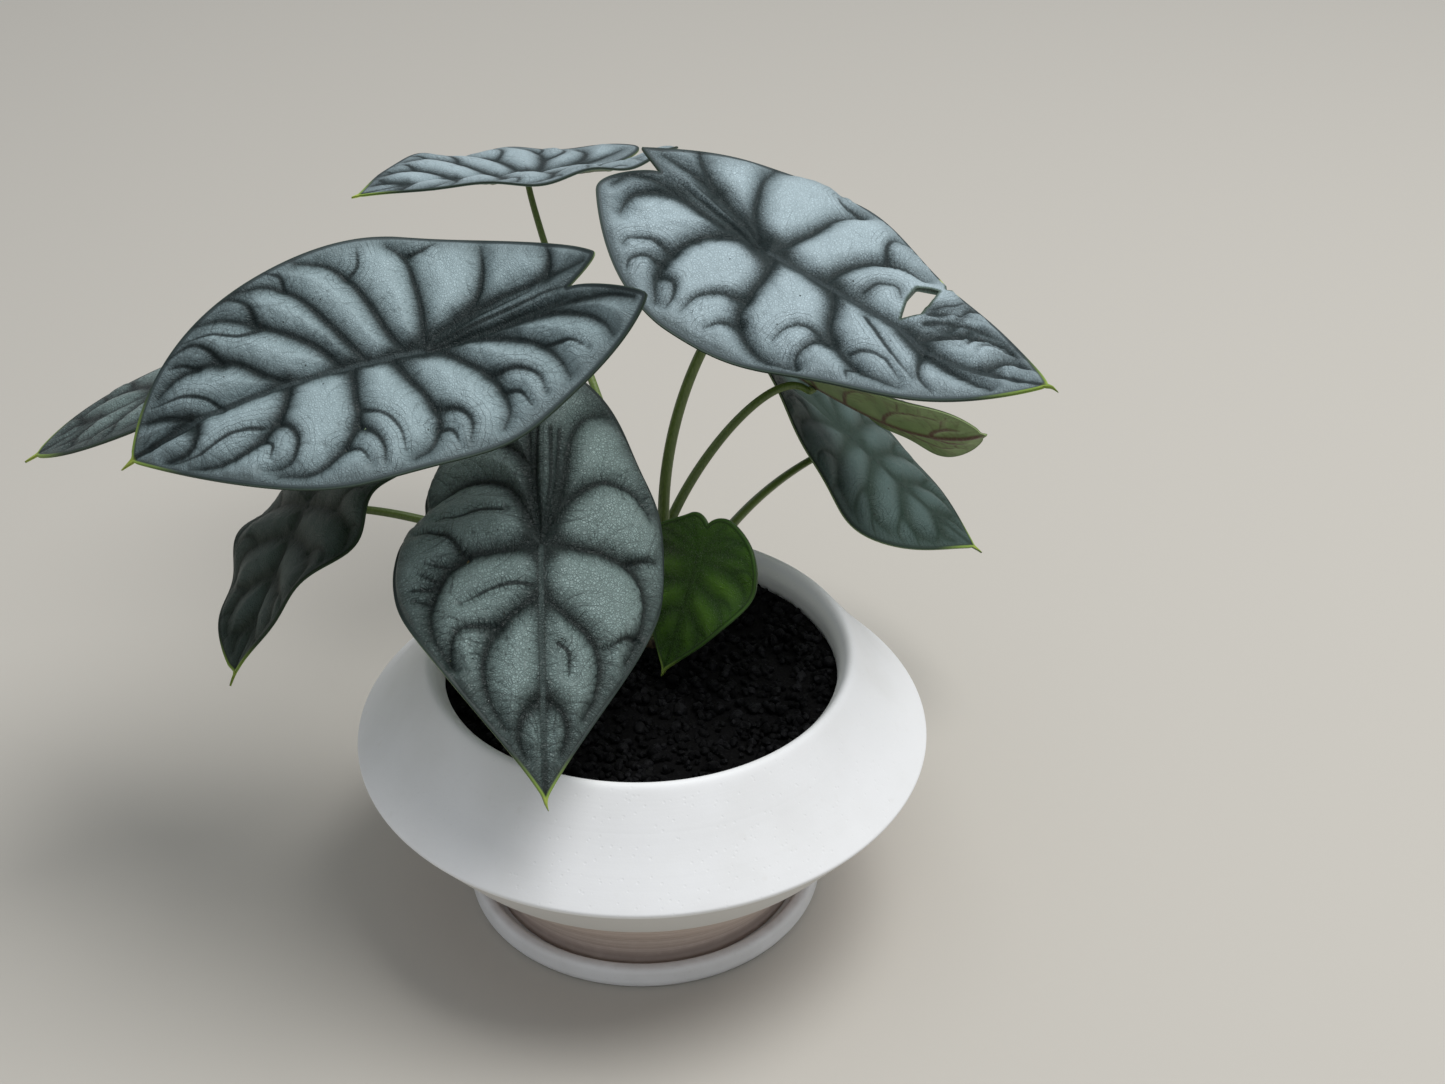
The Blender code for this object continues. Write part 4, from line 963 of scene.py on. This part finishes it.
def leaf_turn(leaf):
    """The matrix that carries a leaf's own axes onto the plant's: roll, then pitch, then heading."""
    return np.array(Euler([math.radians(leaf[key]) for key in ("roll", "pitch", "heading")]).to_matrix())


def blade(leaf, seed):
    """A finished blade. Its upper skin rises between the ribs by quilt (1 - exp(-(d / 6)^2)) and by a
    second, steeper rise, sinks in fine grooves on the ribs and arches, and rolls over at the margin. The
    lower skin is the same blade without the finer relief, moved down, with the ribs standing out."""
    grain = np.random.default_rng(seed)
    flat = flat_grid(leaf)
    rows, across = flat.shape[:2]
    flat = flat.reshape(-1, 2)
    faces = grid_faces(rows, across)
    holes = []
    if leaf["tear"]:
        holes.append(even(np.array(leaf["tear"] + leaf["tear"][:1], float), 0.7)[:-1])
    if leaf["nick"]:
        nick = np.array(leaf["nick"], float)
        holes.append(np.concatenate([even(nick, 0.7), [(60.0, 42.0), (46.0, 44.0)]]))
    for hole in holes:
        faces = faces[~inside(flat[faces].mean(1), hole)]
    if holes:
        outer = np.zeros((rows, across), bool)
        outer[:, [0, -1]] = True
        outer[[0, -1]] = True
        loose = np.unique(open_edges(faces))
        loose = loose[~outer.ravel()[loose]]
        moved = [nearest_on(flat[loose], hole) for hole in holes]
        apart = np.stack([np.linalg.norm(m - flat[loose], axis=1) for m in moved], 1)
        flat[loose] = np.stack(moved, 1)[np.arange(len(loose)), apart.argmin(1)]

    midrib, sides = main_ribs(leaf)
    ribs = sides[0] + sides[1]
    arches = [(entry[0], smooth(entry[1:], RIB_STEP)) for entry in leaf["arches"]] or loop_ribs(leaf, sides)
    strong = [arch for strength, arch in arches if strength in "sm"]
    fine = fine_ribs([rib for side in sides for rib in side[1:]] + strong, grain)
    spine_distance, spine_run = measure(flat, midrib)
    behind = np.clip(1 - spine_run / leaf["length"], 0, 1)
    found = [measure(flat, rib) for rib in ribs]
    narrow, widening = leaf["spine_band"]
    clear = 1 - 0.95 * np.exp(-(spine_distance / (narrow + widening * behind)) ** 1.5)
    clear *= 1 - 0.85 * np.exp(-(np.hypot(*flat.T) / 5.5) ** 2)
    for (apart, run), rib in zip(found, ribs):
        share = run / (RIB_STEP * (len(rib) - 1))
        reach = leaf["bands"] * (4.3 - 1.7 * share ** 0.7)
        clear *= 1 - (0.96 - 0.40 * share ** 3) * np.exp(-(apart / reach) ** 1.5)
    strip = np.clip(-flat[:, 0] / 5, 0, 1)
    for side, turn in ((0, 1), (1, -1)):
        lobe_rib = sides[side][0][::-1]
        beyond = turn * (flat[:, 1] - np.interp(flat[:, 0], *lobe_rib.T))
        strip /= 1 + np.exp(np.clip(beyond / 1.5, -30, 30))
    clear *= 1 - 0.34 * strip

    apart = np.stack([spine_distance] + [f[0] for f in found], 1)
    run = np.stack([spine_run] + [f[1] for f in found], 1)
    pick = apart.argmin(1)
    here = np.arange(len(flat))
    to_rib, rib_run = apart[here, pick], run[here, pick] + 53.0 * pick
    ends = np.array([leaf["length"]] + [RIB_STEP * (len(rib) - 1) for rib in ribs])
    rib_fade = 0.7 * (run[here, pick] / ends[pick]) ** 4 * (pick > 0)
    to_loop, loop_run, loop_fade, groove = np.full(len(flat), 8.0), *np.zeros((3, len(flat)))
    for k, (strength, arch) in enumerate(arches):
        band, deep, sink = ARCHES[strength]
        close = np.flatnonzero(((flat > arch.min(0) - 8) & (flat < arch.max(0) + 8)).all(1))
        apart, run = measure(flat[close], arch)
        share = run / (RIB_STEP * (len(arch) - 1))
        reach = band * leaf["bands"] * (1 - 0.35 * share)
        clear[close] *= 1 - deep * (1 - 0.6 * share ** 2) * np.exp(-(apart / reach) ** 1.5)
        groove[close] = np.maximum(groove[close], sink * np.exp(-(apart / 0.8) ** 2))
        closer = apart < to_loop[close]
        to_loop[close[closer]] = apart[closer]
        loop_fade[close[closer]] = 0.6 * share[closer] ** 3
        loop_run[close[closer]] = run[closer] + 41.0 * k
    to_fine, _, fine_share = near_lines(flat, fine, 3.0)

    margins = [even(margin_line(leaf, side), 1.0) for side in (0, 1)]
    whole = np.concatenate([margins[0], margins[1][::-1][1:-1]])
    to_margin, margin_run = measure(flat, np.concatenate([whole, whole[:1]]))
    to_cut = np.full(len(flat), 99.0)
    for hole in holes:
        to_cut = np.minimum(to_cut, np.linalg.norm(nearest_on(flat, hole) - flat, axis=1))
    to_edge = np.minimum(to_margin, to_cut)

    inner = 1 - np.exp(-(to_margin / MARGIN_REACH) ** 2)
    field = np.clip((to_margin - RIM) / 2.0, 0, 1)
    size = (leaf["quilt"] / 1.8) ** 1.8
    form = leaf["quilt"] * (1 - np.exp(-(to_rib / RIB_REACH) ** 2)) * inner
    relief = 1.7 * (1 - np.exp(-(to_rib / 3.4) ** 1.7)) - 0.80 - 0.30 * np.exp(-(to_rib / 0.6) ** 2)
    relief += 0.90 * (1 - np.exp(-(to_loop / 2.6) ** 1.7)) - 0.55 - groove
    relief -= 0.32 * np.exp(-(to_fine / 0.55) ** 2) * (1 - 0.6 * fine_share)
    waves = grain.normal(0, (0.55, 0.55, 3.0), (14, 3))
    relief += 0.05 * sum(np.sin(a * flat[:, 0] + b * flat[:, 1] + c) for a, b, c in waves)
    if leaf["crumpled"]:
        (at_u, at_v), (long, wide) = leaf["crumpled"]
        u, v = flat.T
        creased = np.exp(-((u - at_u) / long) ** 2 - ((v - at_v) / wide) ** 2)
        folds = np.sin(0.9 * u - 0.5 * v + 2.0 * np.sin(0.35 * v + 0.2 * u))
        relief += creased * (0.60 * folds - 0.35 * np.abs(np.sin(0.6 * v + 0.25 * u)))
        # the crumpled patch is darkened, and most in its fold valleys, where the darkening is painted shade
        clear *= 1 - creased * (0.62 - 0.32 * folds)
    relief *= size * field
    relief += (0.25 + 0.25 * behind) * np.exp(-(spine_distance / (0.55 + 0.45 * behind)) ** 2) * field
    relief -= 0.20 * size * np.exp(-((to_margin - RIM) / 0.6) ** 2)
    relief += 0.16 * np.exp(-((to_margin - 0.45 * RIM) / 0.8) ** 2)
    rounding = np.clip(1 - to_edge / EDGE_ROUND, 0, 1) ** 2
    relief -= 0.28 * rounding
    depth = THICKNESS + RIB_DEPTH * np.exp(-(to_rib / RIB_WIDTH) ** 2) * inner
    depth += 0.28 * np.exp(-(to_loop / 0.9) ** 2) * field - 0.22 * rounding

    along = shaped(leaf, flat + (0.4, 0)) - shaped(leaf, flat - (0.4, 0))
    aside = shaped(leaf, flat + (0, 0.4)) - shaped(leaf, flat - (0, 0.4))
    normal = np.cross(along, aside)
    normal /= np.linalg.norm(normal, axis=1)[:, None]
    middle = shaped(leaf, flat)
    turn = leaf_turn(leaf)
    upper, lower = ((middle + normal * height[:, None]) @ turn.T + leaf["junction"]
                    for height in (form + relief, form + np.minimum(relief - 0.7, -depth)))

    count = len(upper)
    if holes:
        under, under_faces = np.arange(count), faces + count
        rims = open_edges(faces)
        rim_faces = [np.stack([rims[:, 1], rims[:, 0], rims[:, 0] + count, rims[:, 1] + count], 1)]
    else:
        keep_rows = np.unique(np.concatenate([np.arange(0, rows, 2), [rows - 1]]))
        under = np.arange(count).reshape(rows, across)[keep_rows][:, ::2]
        under_faces = grid_faces(*under.shape) + count
        under = under.ravel()
        low = np.arange(len(under)).reshape(len(keep_rows), -1) + count
        top = np.arange(count).reshape(rows, across)
        first, between, last = keep_rows[:-1], keep_rows[:-1] + 1, keep_rows[1:]
        full = last - first == 2
        rim_faces = []
        for column, flip in ((0, False), (-1, True)):
            five = np.stack([top[first, column], top[between, column], top[last, column],
                             low[1:, column], low[:-1, column]], 1)
            four = five[:, [0, 2, 3, 4]]
            rim_faces += [ring[:, ::-1] if flip else ring
                          for ring in (five[full], four[~full]) if len(ring)]
    return np.concatenate([upper, lower[under]]), [faces[:, ::-1], under_faces, *rim_faces], under, dict(
        flat=flat, vein=np.stack([rib_run, to_rib + rib_fade, 1 - clear], 1),
        loop=np.stack([loop_run, to_loop + loop_fade, to_fine + 0.32 * fine_share ** 2], 1),
        edge=np.stack([to_margin, margin_run, to_cut], 1),
        spine=np.stack([spine_distance, spine_run / leaf["length"], strip], 1))


def skin_places(name):
    """Starts a leaf material. The mesh carries distances in millimetres: to the ribs, arches, fine ribs,
    margin, a torn edge and the midrib. The flat blade's own places come from the UV map."""
    place = places(name)
    fields = {}
    for key in ("vein", "loop", "edge", "spine"):
        fields[key] = place.node("ShaderNodeAttribute", {"attribute_name": key}, None, 1).split()
    skin = place.node("ShaderNodeUVMap", {"uv_map": "blade"})
    return skin.node("ShaderNodeVectorMath", {"operation": "SCALE"}, {0: skin, "Scale": 100.0}), fields


def leaf_skin(name, silver, silver_mottle_and_shade, band, rim, gloss, contrast,
              netting, creasing, grain, specks, dust):
    """The upper skin: silver panels painted lighter at the top of each bulge and darker towards the ribs as
    painted light and shade, feathered dark bands on the ribs with a thin darker line in their middle, short
    cross creases beside every rib and along the margin, a smooth dark rim and a yellow-green tip."""
    skin, fields = skin_places(name)
    rib_run, to_rib, dark = fields["vein"]
    loop_run, to_loop, to_fine = fields["loop"]
    to_margin, margin_run, to_cut = fields["edge"]
    to_spine, spine_share, strip = fields["spine"]

    streaks = skin.join(rib_run, to_rib * 0.16).noise(0.75, 3.0, 0.65)
    hatch = skin.join(rib_run, to_rib * 0.30).cracks(1.9)
    loop_hatch = skin.join(loop_run, to_loop * 0.36).cracks(1.6)
    margin_hatch = skin.join(margin_run, to_margin * 0.30).cracks(1.9)
    net = skin.cracks(2.1)
    fine_net = skin.cracks(0.9)
    mottle = skin.noise(0.62, 3.0, 0.75)
    blotch = skin.noise(2.4, 3.0)
    clouds = skin.noise(11.0, 3.0)

    near_rib = to_rib.rise(9.0, 2.5)
    near_loop = to_loop.rise(5.0, 1.2)
    outer = to_margin.rise(10.0, 4.0) * 0.7
    field = to_margin.rise(RIM - 0.3, RIM + 0.6)
    creases = hatch.rise(0.08, 0.0) * near_rib * blotch.rise(0.30, 0.65)
    creases = creases.math("MAXIMUM", creases, loop_hatch.rise(0.08, 0.0) * near_loop)
    creases = creases.math("MAXIMUM", creases, margin_hatch.rise(0.08, 0.0) * outer) * creasing
    spread = to_loop + blotch * 2.0
    rings = spread.math("PINGPONG", spread, 0.85).rise(0.14, 0.02)
    rings = rings * to_loop.rise(7.5, 5.0) * to_loop.rise(0.9, 1.4) * clouds.rise(0.34, 0.52)
    creases = creases.math("MAXIMUM", creases, rings * 0.50)
    creases = creases.math("MAXIMUM", creases, (1.0 - net.rise(0.0, 0.07)) * netting)
    creases = creases.math("MAXIMUM", creases, (1.0 - fine_net.rise(0.0, 0.16)) * netting * 0.8)
    creases = creases * field

    feather = dark * (1.0 - dark) * 4.0
    banded = (dark + ((streaks - 0.5) * 0.12 + (mottle - 0.5) * grain) * feather).rise(0.0, 0.98)
    core = to_rib.rise(1.5, 0.3) * 0.85
    core = core.math("MAXIMUM", core, to_loop.rise(1.1, 0.25) * 0.88)
    core = core.math("MAXIMUM", core, to_fine.rise(0.46, 0.10) * 0.70 * creasing)
    outside = (to_margin + (clouds - 0.5) * 6.0).rise(11.0, RIM) * (0.18 + 0.58 * creasing)
    depth = banded + (1.0 - banded) * core
    depth = depth + (1.0 - depth) * outside
    depth = depth + (1.0 - depth) * creases
    depth = depth + (1.0 - depth) * mottle.rise(0.50, 0.75) * 0.22
    # painted light and shade: each panel is lighter towards the middle of its bulge, away from the ribs and
    # arches, with random clouds and mottle on top
    panel = to_rib.rise(1.0, 8.5) * 0.45 + to_loop.rise(0.3, 4.5) * 0.20 + clouds.rise(0.3, 0.75) * 0.15
    panel = panel + mottle.rise(0.3, 0.7) * 0.20
    panel = panel.shade(silver_mottle_and_shade, silver)
    ashen = tuple(0.6 * a + 0.4 * b for a, b in zip(band, rim))
    deep = ((1.0 - core) * (streaks * 0.5 + 0.3) + strip * 0.5).shade(band, ashen)
    tone = (depth * contrast).shade(panel, deep)
    smooth_rim = to_margin.rise(RIM + 0.1, RIM - 0.5)
    rim_tone = (clouds.rise(0.3, 0.8) * 0.5 + mottle * 0.3).shade(rim, tuple(0.65 * c for c in rim))
    tone = (smooth_rim * 0.9).shade(tone, rim_tone)
    tone = ((to_margin - RIM).bell(0.38) * 0.7).shade(tone, tuple(0.6 * c for c in band))
    tone = (to_margin.rise(0.5, 0.0) * 0.5).shade(tone, (0.035, 0.060, 0.028))
    ridge = to_spine.rise(1.2, 0.5) * spine_share.rise(0.98, 0.70)
    tone = (ridge * 0.75 * creasing).shade(tone, tuple((0.2 + 0.5 * creasing) * c for c in silver_mottle_and_shade))
    tone = (to_cut.rise(1.5, 0.3) * 0.85).shade(tone, (0.020, 0.045, 0.014))
    tone = (to_cut.rise(2.6, 0.6) * to_margin.rise(4.2, 1.2)).shade(tone, (0.40, 0.47, 0.13))
    tone = (to_margin.rise(1.3, 0.5) * spine_share.rise(0.80, 0.98)).shade(tone, (0.20, 0.30, 0.05))
    tone = spine_share.rise(0.972, 0.998).shade(tone, (0.36, 0.43, 0.07))
    spots = skin.dots(5.5).rise(0.075, 0.050) * skin.noise(22.0, 1.0).rise(0.50, 0.56)
    tone = (spots * 0.85).shade(tone, specks)
    motes = skin.dots(2.9).rise(0.060, 0.035) * skin.noise(9.0, 2.0).rise(0.45, 0.6)
    tone = (motes * dust).shade(tone, (0.45, 0.48, 0.45))
    relief = mottle * 0.45 + fine_net.rise(0.0, 0.25) * 0.16 * field + streaks * 0.10 * near_rib
    relief = relief - creases * 1.3
    smoothest, specular = gloss
    roughness = depth * 0.05 + mottle * 0.12 + smooth_rim * 0.2 + smoothest
    return material(name, {"Specular IOR Level": specular},
                    {"Base Color": tone, "Roughness": roughness, "Normal": relief.bump(0.34)})


def leaf_underside(name, flesh, flesh_shade, veins):
    """The lower skin: plain soft green, with the ribs that stand out in their own colour."""
    skin, fields = skin_places(name)
    to_rib, to_loop, to_fine, to_margin = fields["vein"][1], *fields["loop"][1:], fields["edge"][0]
    clouds = skin.noise(12.0, 3.0)
    net = skin.cracks(2.1).rise(0.09, 0.0)
    tone = clouds.rise(0.3, 0.75).shade(flesh, flesh_shade)
    tone = (to_rib.rise(1.5, 0.4) * 0.9).shade(tone, veins)
    tone = (to_loop.rise(1.1, 0.2) * 0.6).shade(tone, veins)
    tone = (to_fine.rise(0.8, 0.1) * 0.3).shade(tone, veins)
    tone = (net * 0.2).shade(tone, flesh_shade)
    tone = (to_margin.rise(1.6, 0.4) * 0.5).shade(tone, (0.16, 0.22, 0.08))
    relief = net * 0.35 + skin.noise(0.7, 3.0) * 0.3
    return material(name, {"Specular IOR Level": 0.45},
                    {"Base Color": tone, "Roughness": clouds * 0.1 + 0.48, "Normal": relief.bump(0.14)})


SKINS = {
    "silver": leaf_skin(
        "silver_skin", silver=(0.38, 0.485, 0.51), silver_mottle_and_shade=(0.180, 0.245, 0.255),
        band=(0.005, 0.011, 0.011), rim=(0.014, 0.025, 0.023), gloss=(0.38, 0.24), contrast=0.98,
        netting=0.22, creasing=0.46, grain=0.80, specks=(0.008, 0.012, 0.008), dust=0.10),
    # painted light: a lighter copy of the silver skin for leaves that face the sky, with its own coarser
    # grain and fewer creases
    "bright": leaf_skin(
        "painted_lit_skin", silver=(0.46, 0.57, 0.61), silver_mottle_and_shade=(0.225, 0.295, 0.315),
        band=(0.006, 0.013, 0.013), rim=(0.015, 0.027, 0.025), gloss=(0.40, 0.24), contrast=0.97,
        netting=0.26, creasing=0.34, grain=1.35, specks=(0.008, 0.012, 0.008), dust=0.15),
    # painted shade: a darker copy of the silver skin for leaves that turn from the light, with more creases
    # and netting
    "shaded": leaf_skin(
        "shaded_skin", silver=(0.265, 0.355, 0.34), silver_mottle_and_shade=(0.116, 0.165, 0.155),
        band=(0.005, 0.010, 0.009), rim=(0.016, 0.028, 0.024), gloss=(0.34, 0.34), contrast=0.96,
        netting=0.45, creasing=0.80, grain=1.00, specks=(0.010, 0.014, 0.010), dust=0.75),
    "dull": leaf_skin(
        "dull_skin", silver=(0.080, 0.124, 0.116), silver_mottle_and_shade=(0.042, 0.072, 0.062),
        band=(0.010, 0.024, 0.014), rim=(0.014, 0.030, 0.018), gloss=(0.42, 0.22), contrast=0.80,
        netting=0.2, creasing=0.25, grain=0.5, specks=(0.010, 0.014, 0.010), dust=0.0),
    "dark": leaf_skin(
        "dark_skin", silver=(0.060, 0.090, 0.078), silver_mottle_and_shade=(0.030, 0.048, 0.038),
        band=(0.006, 0.014, 0.006), rim=(0.014, 0.030, 0.014), gloss=(0.40, 0.24), contrast=0.90,
        netting=0.2, creasing=0.25, grain=0.5, specks=(0.010, 0.014, 0.010), dust=0.0),
    "young": leaf_skin(
        "young_skin", silver=(0.092, 0.215, 0.014), silver_mottle_and_shade=(0.040, 0.112, 0.006),
        band=(0.009, 0.034, 0.003), rim=(0.040, 0.110, 0.008), gloss=(0.16, 0.36), contrast=0.78,
        netting=0.2, creasing=0.25, grain=0.4, specks=(0.020, 0.050, 0.020), dust=0.0),
}
UNDERS = {
    "silver": leaf_underside(
        "under_skin", (0.20, 0.27, 0.15), (0.14, 0.20, 0.10), (0.060, 0.060, 0.035)),
    "shaded": leaf_underside(
        "under_skin_olive", (0.23, 0.31, 0.12), (0.165, 0.24, 0.085), (0.085, 0.022, 0.018)),
    "young": leaf_underside(
        "under_skin_young", (0.08, 0.16, 0.05), (0.05, 0.11, 0.035), (0.05, 0.09, 0.03)),
}
UNDERS["dark"] = UNDERS["dull"] = UNDERS["bright"] = UNDERS["silver"]

for seed, (name, own) in enumerate(LEAVES.items(), 100):
    leaf = {**COMMON, **own}
    points, faces, under, fields = blade(leaf, seed)
    looks = [SKINS[leaf["look"]], UNDERS[leaf["look"]]]
    piece = add_piece(name.replace("leaf", "blade"), points, faces, looks, [name], merge=False)
    mesh = piece.data
    top = len(fields["flat"])
    which = np.concatenate([np.arange(top), under])
    for key in ("vein", "loop", "edge", "spine"):
        values = fields[key][which].astype(np.float32)
        mesh.attributes.new(key, "FLOAT_VECTOR", "POINT").data.foreach_set("vector", values.ravel())
    corner = np.zeros(len(mesh.loops), np.int32)
    mesh.loops.foreach_get("vertex_index", corner)
    uv = fields["flat"][which][corner] / 100.0
    mesh.uv_layers.new(name="blade").data.foreach_set("uv", uv.astype(np.float32).ravel())
    starts = np.zeros(len(mesh.polygons), np.int32)
    mesh.polygons.foreach_get("loop_start", starts)
    below = (corner[starts] >= top).astype(np.int32)
    mesh.polygons.foreach_set("material_index", below)
    shape = bmesh.new()
    shape.from_mesh(mesh)
    bmesh.ops.remove_doubles(shape, verts=shape.verts, dist=1e-7)
    loose = [v for v in shape.verts if not v.link_faces]
    bmesh.ops.delete(shape, geom=loose, context="VERTS")
    shape.to_mesh(mesh)
    shape.free()
    mesh.shade_smooth()


# Stalks
# Smooth round leaf stalks of firm green flesh, thickest at the foot, where each opens into a clasping
# sheath, and thinning to where they join the blade's underside.

GAP = 0.3
STALK_RING = 8.0
STALK_BASE = 2.3
STALK_SQUARE = 8.0
STALK_SEAT = 0.4
STALK_STEPS = 240              # steps along a stalk's curve, of which 90 places are kept

place = places("stalk_flesh")
x, y, z = place.split()
lengthwise = place.join(x, y, z * 0.05).noise(0.5, 2.0)
flecks = place.join(x * 2.0, y * 2.0, z * 0.35).noise(1.2, 3.0)
low = (z + place.noise(6.0) * 8.0).rise(112.0, 92.0)
tone = lengthwise.rise(0.3, 0.75).shade((0.085, 0.135, 0.022), (0.135, 0.190, 0.040))
tone = (flecks.rise(0.58, 0.72) * 0.45).shade(tone, (0.045, 0.075, 0.015))
tone = (low * 0.55).shade(tone, (0.16, 0.19, 0.075))
relief = lengthwise * 0.6 + flecks * 0.2
stalk_flesh = material(
    "stalk_flesh", {"Specular IOR Level": 0.5},
    {"Base Color": tone, "Roughness": flecks * 0.12 + 0.34, "Normal": relief.bump(0.12)})


def tube(path, radius, sides, shape):
    """A round section carried along a path: each ring is centre + r (cos a side + sin a up), with side
    kept level and square to the path. Each end is closed by a ring drawn in to a point."""
    ahead = np.gradient(path, axis=0)
    ahead /= np.linalg.norm(ahead, axis=1)[:, None]
    span = path[-1] - path[0]
    level = np.array([-span[1], span[0], 0.0]) / max(np.hypot(span[0], span[1]), 1e-6)
    side = level - (ahead @ level)[:, None] * ahead
    side /= np.linalg.norm(side, axis=1)[:, None]
    up = np.cross(ahead, side)
    angle = np.linspace(0, 2 * math.pi, sides, endpoint=False)
    r = radius[:, None] * shape(np.linspace(0, 1, len(path))[:, None], angle[None])
    ring = np.cos(angle)[None, :, None] * side[:, None] + np.sin(angle)[None, :, None] * up[:, None]
    points = path[:, None] + r[..., None] * ring
    first = np.repeat(path[:1], sides, 0)[None]
    last = np.repeat(path[-1:], sides, 0)[None]
    return np.concatenate([first, points, last]), grid_faces(len(path) + 2, sides, True)


def sheath(t, angle):
    """The section of a stalk: round above, and in the lowest fifth wider with a groove down its inner
    face."""
    low = np.exp(-(t / 0.10) ** 2)
    groove = np.exp(-((angle - 1.5 * math.pi) / 0.5) ** 2)
    channel = np.exp(-((angle - 0.5 * math.pi) / 0.45) ** 2)
    return 1 + low * (0.16 * np.cos(2 * angle) ** 2 - 0.22 * groove) - 0.05 * channel


for name, own in LEAVES.items():
    leaf = {**COMMON, **own}
    up = leaf_turn(leaf)[:, 2]
    slot_angle = math.radians(leaf["stalk_slot"])
    foot = (CROWN_X + STALK_RING * math.cos(slot_angle),
            CROWN_Y + STALK_RING * math.sin(slot_angle), CROWN_TOP + GAP)
    end = np.array(leaf["junction"]) - up * (THICKNESS + RIB_DEPTH + STALK_SEAT)
    route = bezier((foot, leaf["stalk_rise"], leaf["stalk_reach"], end - up * STALK_SQUARE, end),
                   STALK_STEPS + 1)
    stops = STALK_STEPS / 2 * (1 - np.cos(np.linspace(0, math.pi, 90)))
    path = np.stack([np.interp(stops, np.arange(STALK_STEPS + 1), route[:, k]) for k in range(3)], 1)
    t = stops / STALK_STEPS
    radius = STALK_BASE + (leaf["stalk_top"] - STALK_BASE) * t ** 0.6
    radius = radius * (1 + 0.35 * np.exp(-((1 - t) / 0.02) ** 2))
    path[-1] += up * 0.35
    path[0, 2] -= 0.5
    points, faces = tube(path, radius, 20, sheath)
    stalk = name.replace("leaf", "stalk")
    add_piece(stalk + "_flesh", points.reshape(-1, 3), [faces], [stalk_flesh], [stalk])


# Floor, light and camera
# A plain pale floor under a large soft lamp high on the right, with even light from all round, as under an
# overcast sky. The camera stands where the photograph was taken from.

FLOOR_Z = -0.0002
FLOOR_REACH = 6.0

places("floor_plain")
floor_plain = material(
    "floor_plain", {"Base Color": (0.50, 0.475, 0.428), "Roughness": 0.85, "Specular IOR Level": 0.2}, {})
floor_mesh = bpy.data.meshes.new("floor")
floor_corners = [(x * FLOOR_REACH, y * FLOOR_REACH, FLOOR_Z) for x, y in ((-1, -1), (1, -1), (1, 1), (-1, 1))]
floor_mesh.from_pydata(floor_corners, [], [(0, 1, 2, 3)])
floor_mesh.materials.append(floor_plain)
floor = bpy.data.objects.new("floor", floor_mesh)
bpy.context.collection.objects.link(floor)
floor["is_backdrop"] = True

world = bpy.data.worlds.new("overcast")
world.use_nodes = True
world.node_tree.nodes["Background"].inputs["Color"].default_value = (0.86, 0.90, 0.95, 1.0)
world.node_tree.nodes["Background"].inputs["Strength"].default_value = 0.50
bpy.context.scene.world = world


def add_light(name, place, target, size, energy, color):
    data = bpy.data.lights.new(name, "AREA")
    data.shape = "DISK"
    data.size = size
    data.energy = energy
    data.color = color
    lamp = bpy.data.objects.new(name, data)
    lamp.location = place
    lamp.rotation_euler = (Vector(target) - Vector(place)).to_track_quat("-Z", "Y").to_euler()
    bpy.context.collection.objects.link(lamp)


add_light("sky_light", (0.66, 0.02, 1.92), (0, 0, 0.1), 1.45, 35.0, (1.0, 0.995, 0.99))

YAW, PITCH, ROLL = math.radians(2.63), math.radians(33.35), math.radians(0.26)
ahead = Vector((math.sin(YAW) * math.cos(PITCH), math.cos(YAW) * math.cos(PITCH), -math.sin(PITCH)))
right = Vector((math.cos(YAW), -math.sin(YAW), 0))
above = right.cross(ahead)
turned_right = right * math.cos(ROLL) + above * math.sin(ROLL)
turned_up = above * math.cos(ROLL) - right * math.sin(ROLL)
camera_data = bpy.data.cameras.new("camera")
camera_data.sensor_width = 36.0
camera_data.lens = 54.06
camera_data.clip_start, camera_data.clip_end = 0.05, 30.0
camera = bpy.data.objects.new("camera", camera_data)
facing = Matrix((turned_right, turned_up, -ahead)).transposed()
camera.matrix_world = Matrix.Translation((0, -0.6042, 0.5398)) @ facing.to_4x4()
bpy.context.collection.objects.link(camera)
bpy.context.scene.camera = camera
bpy.context.scene.view_settings.view_transform = "Standard"

low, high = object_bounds()
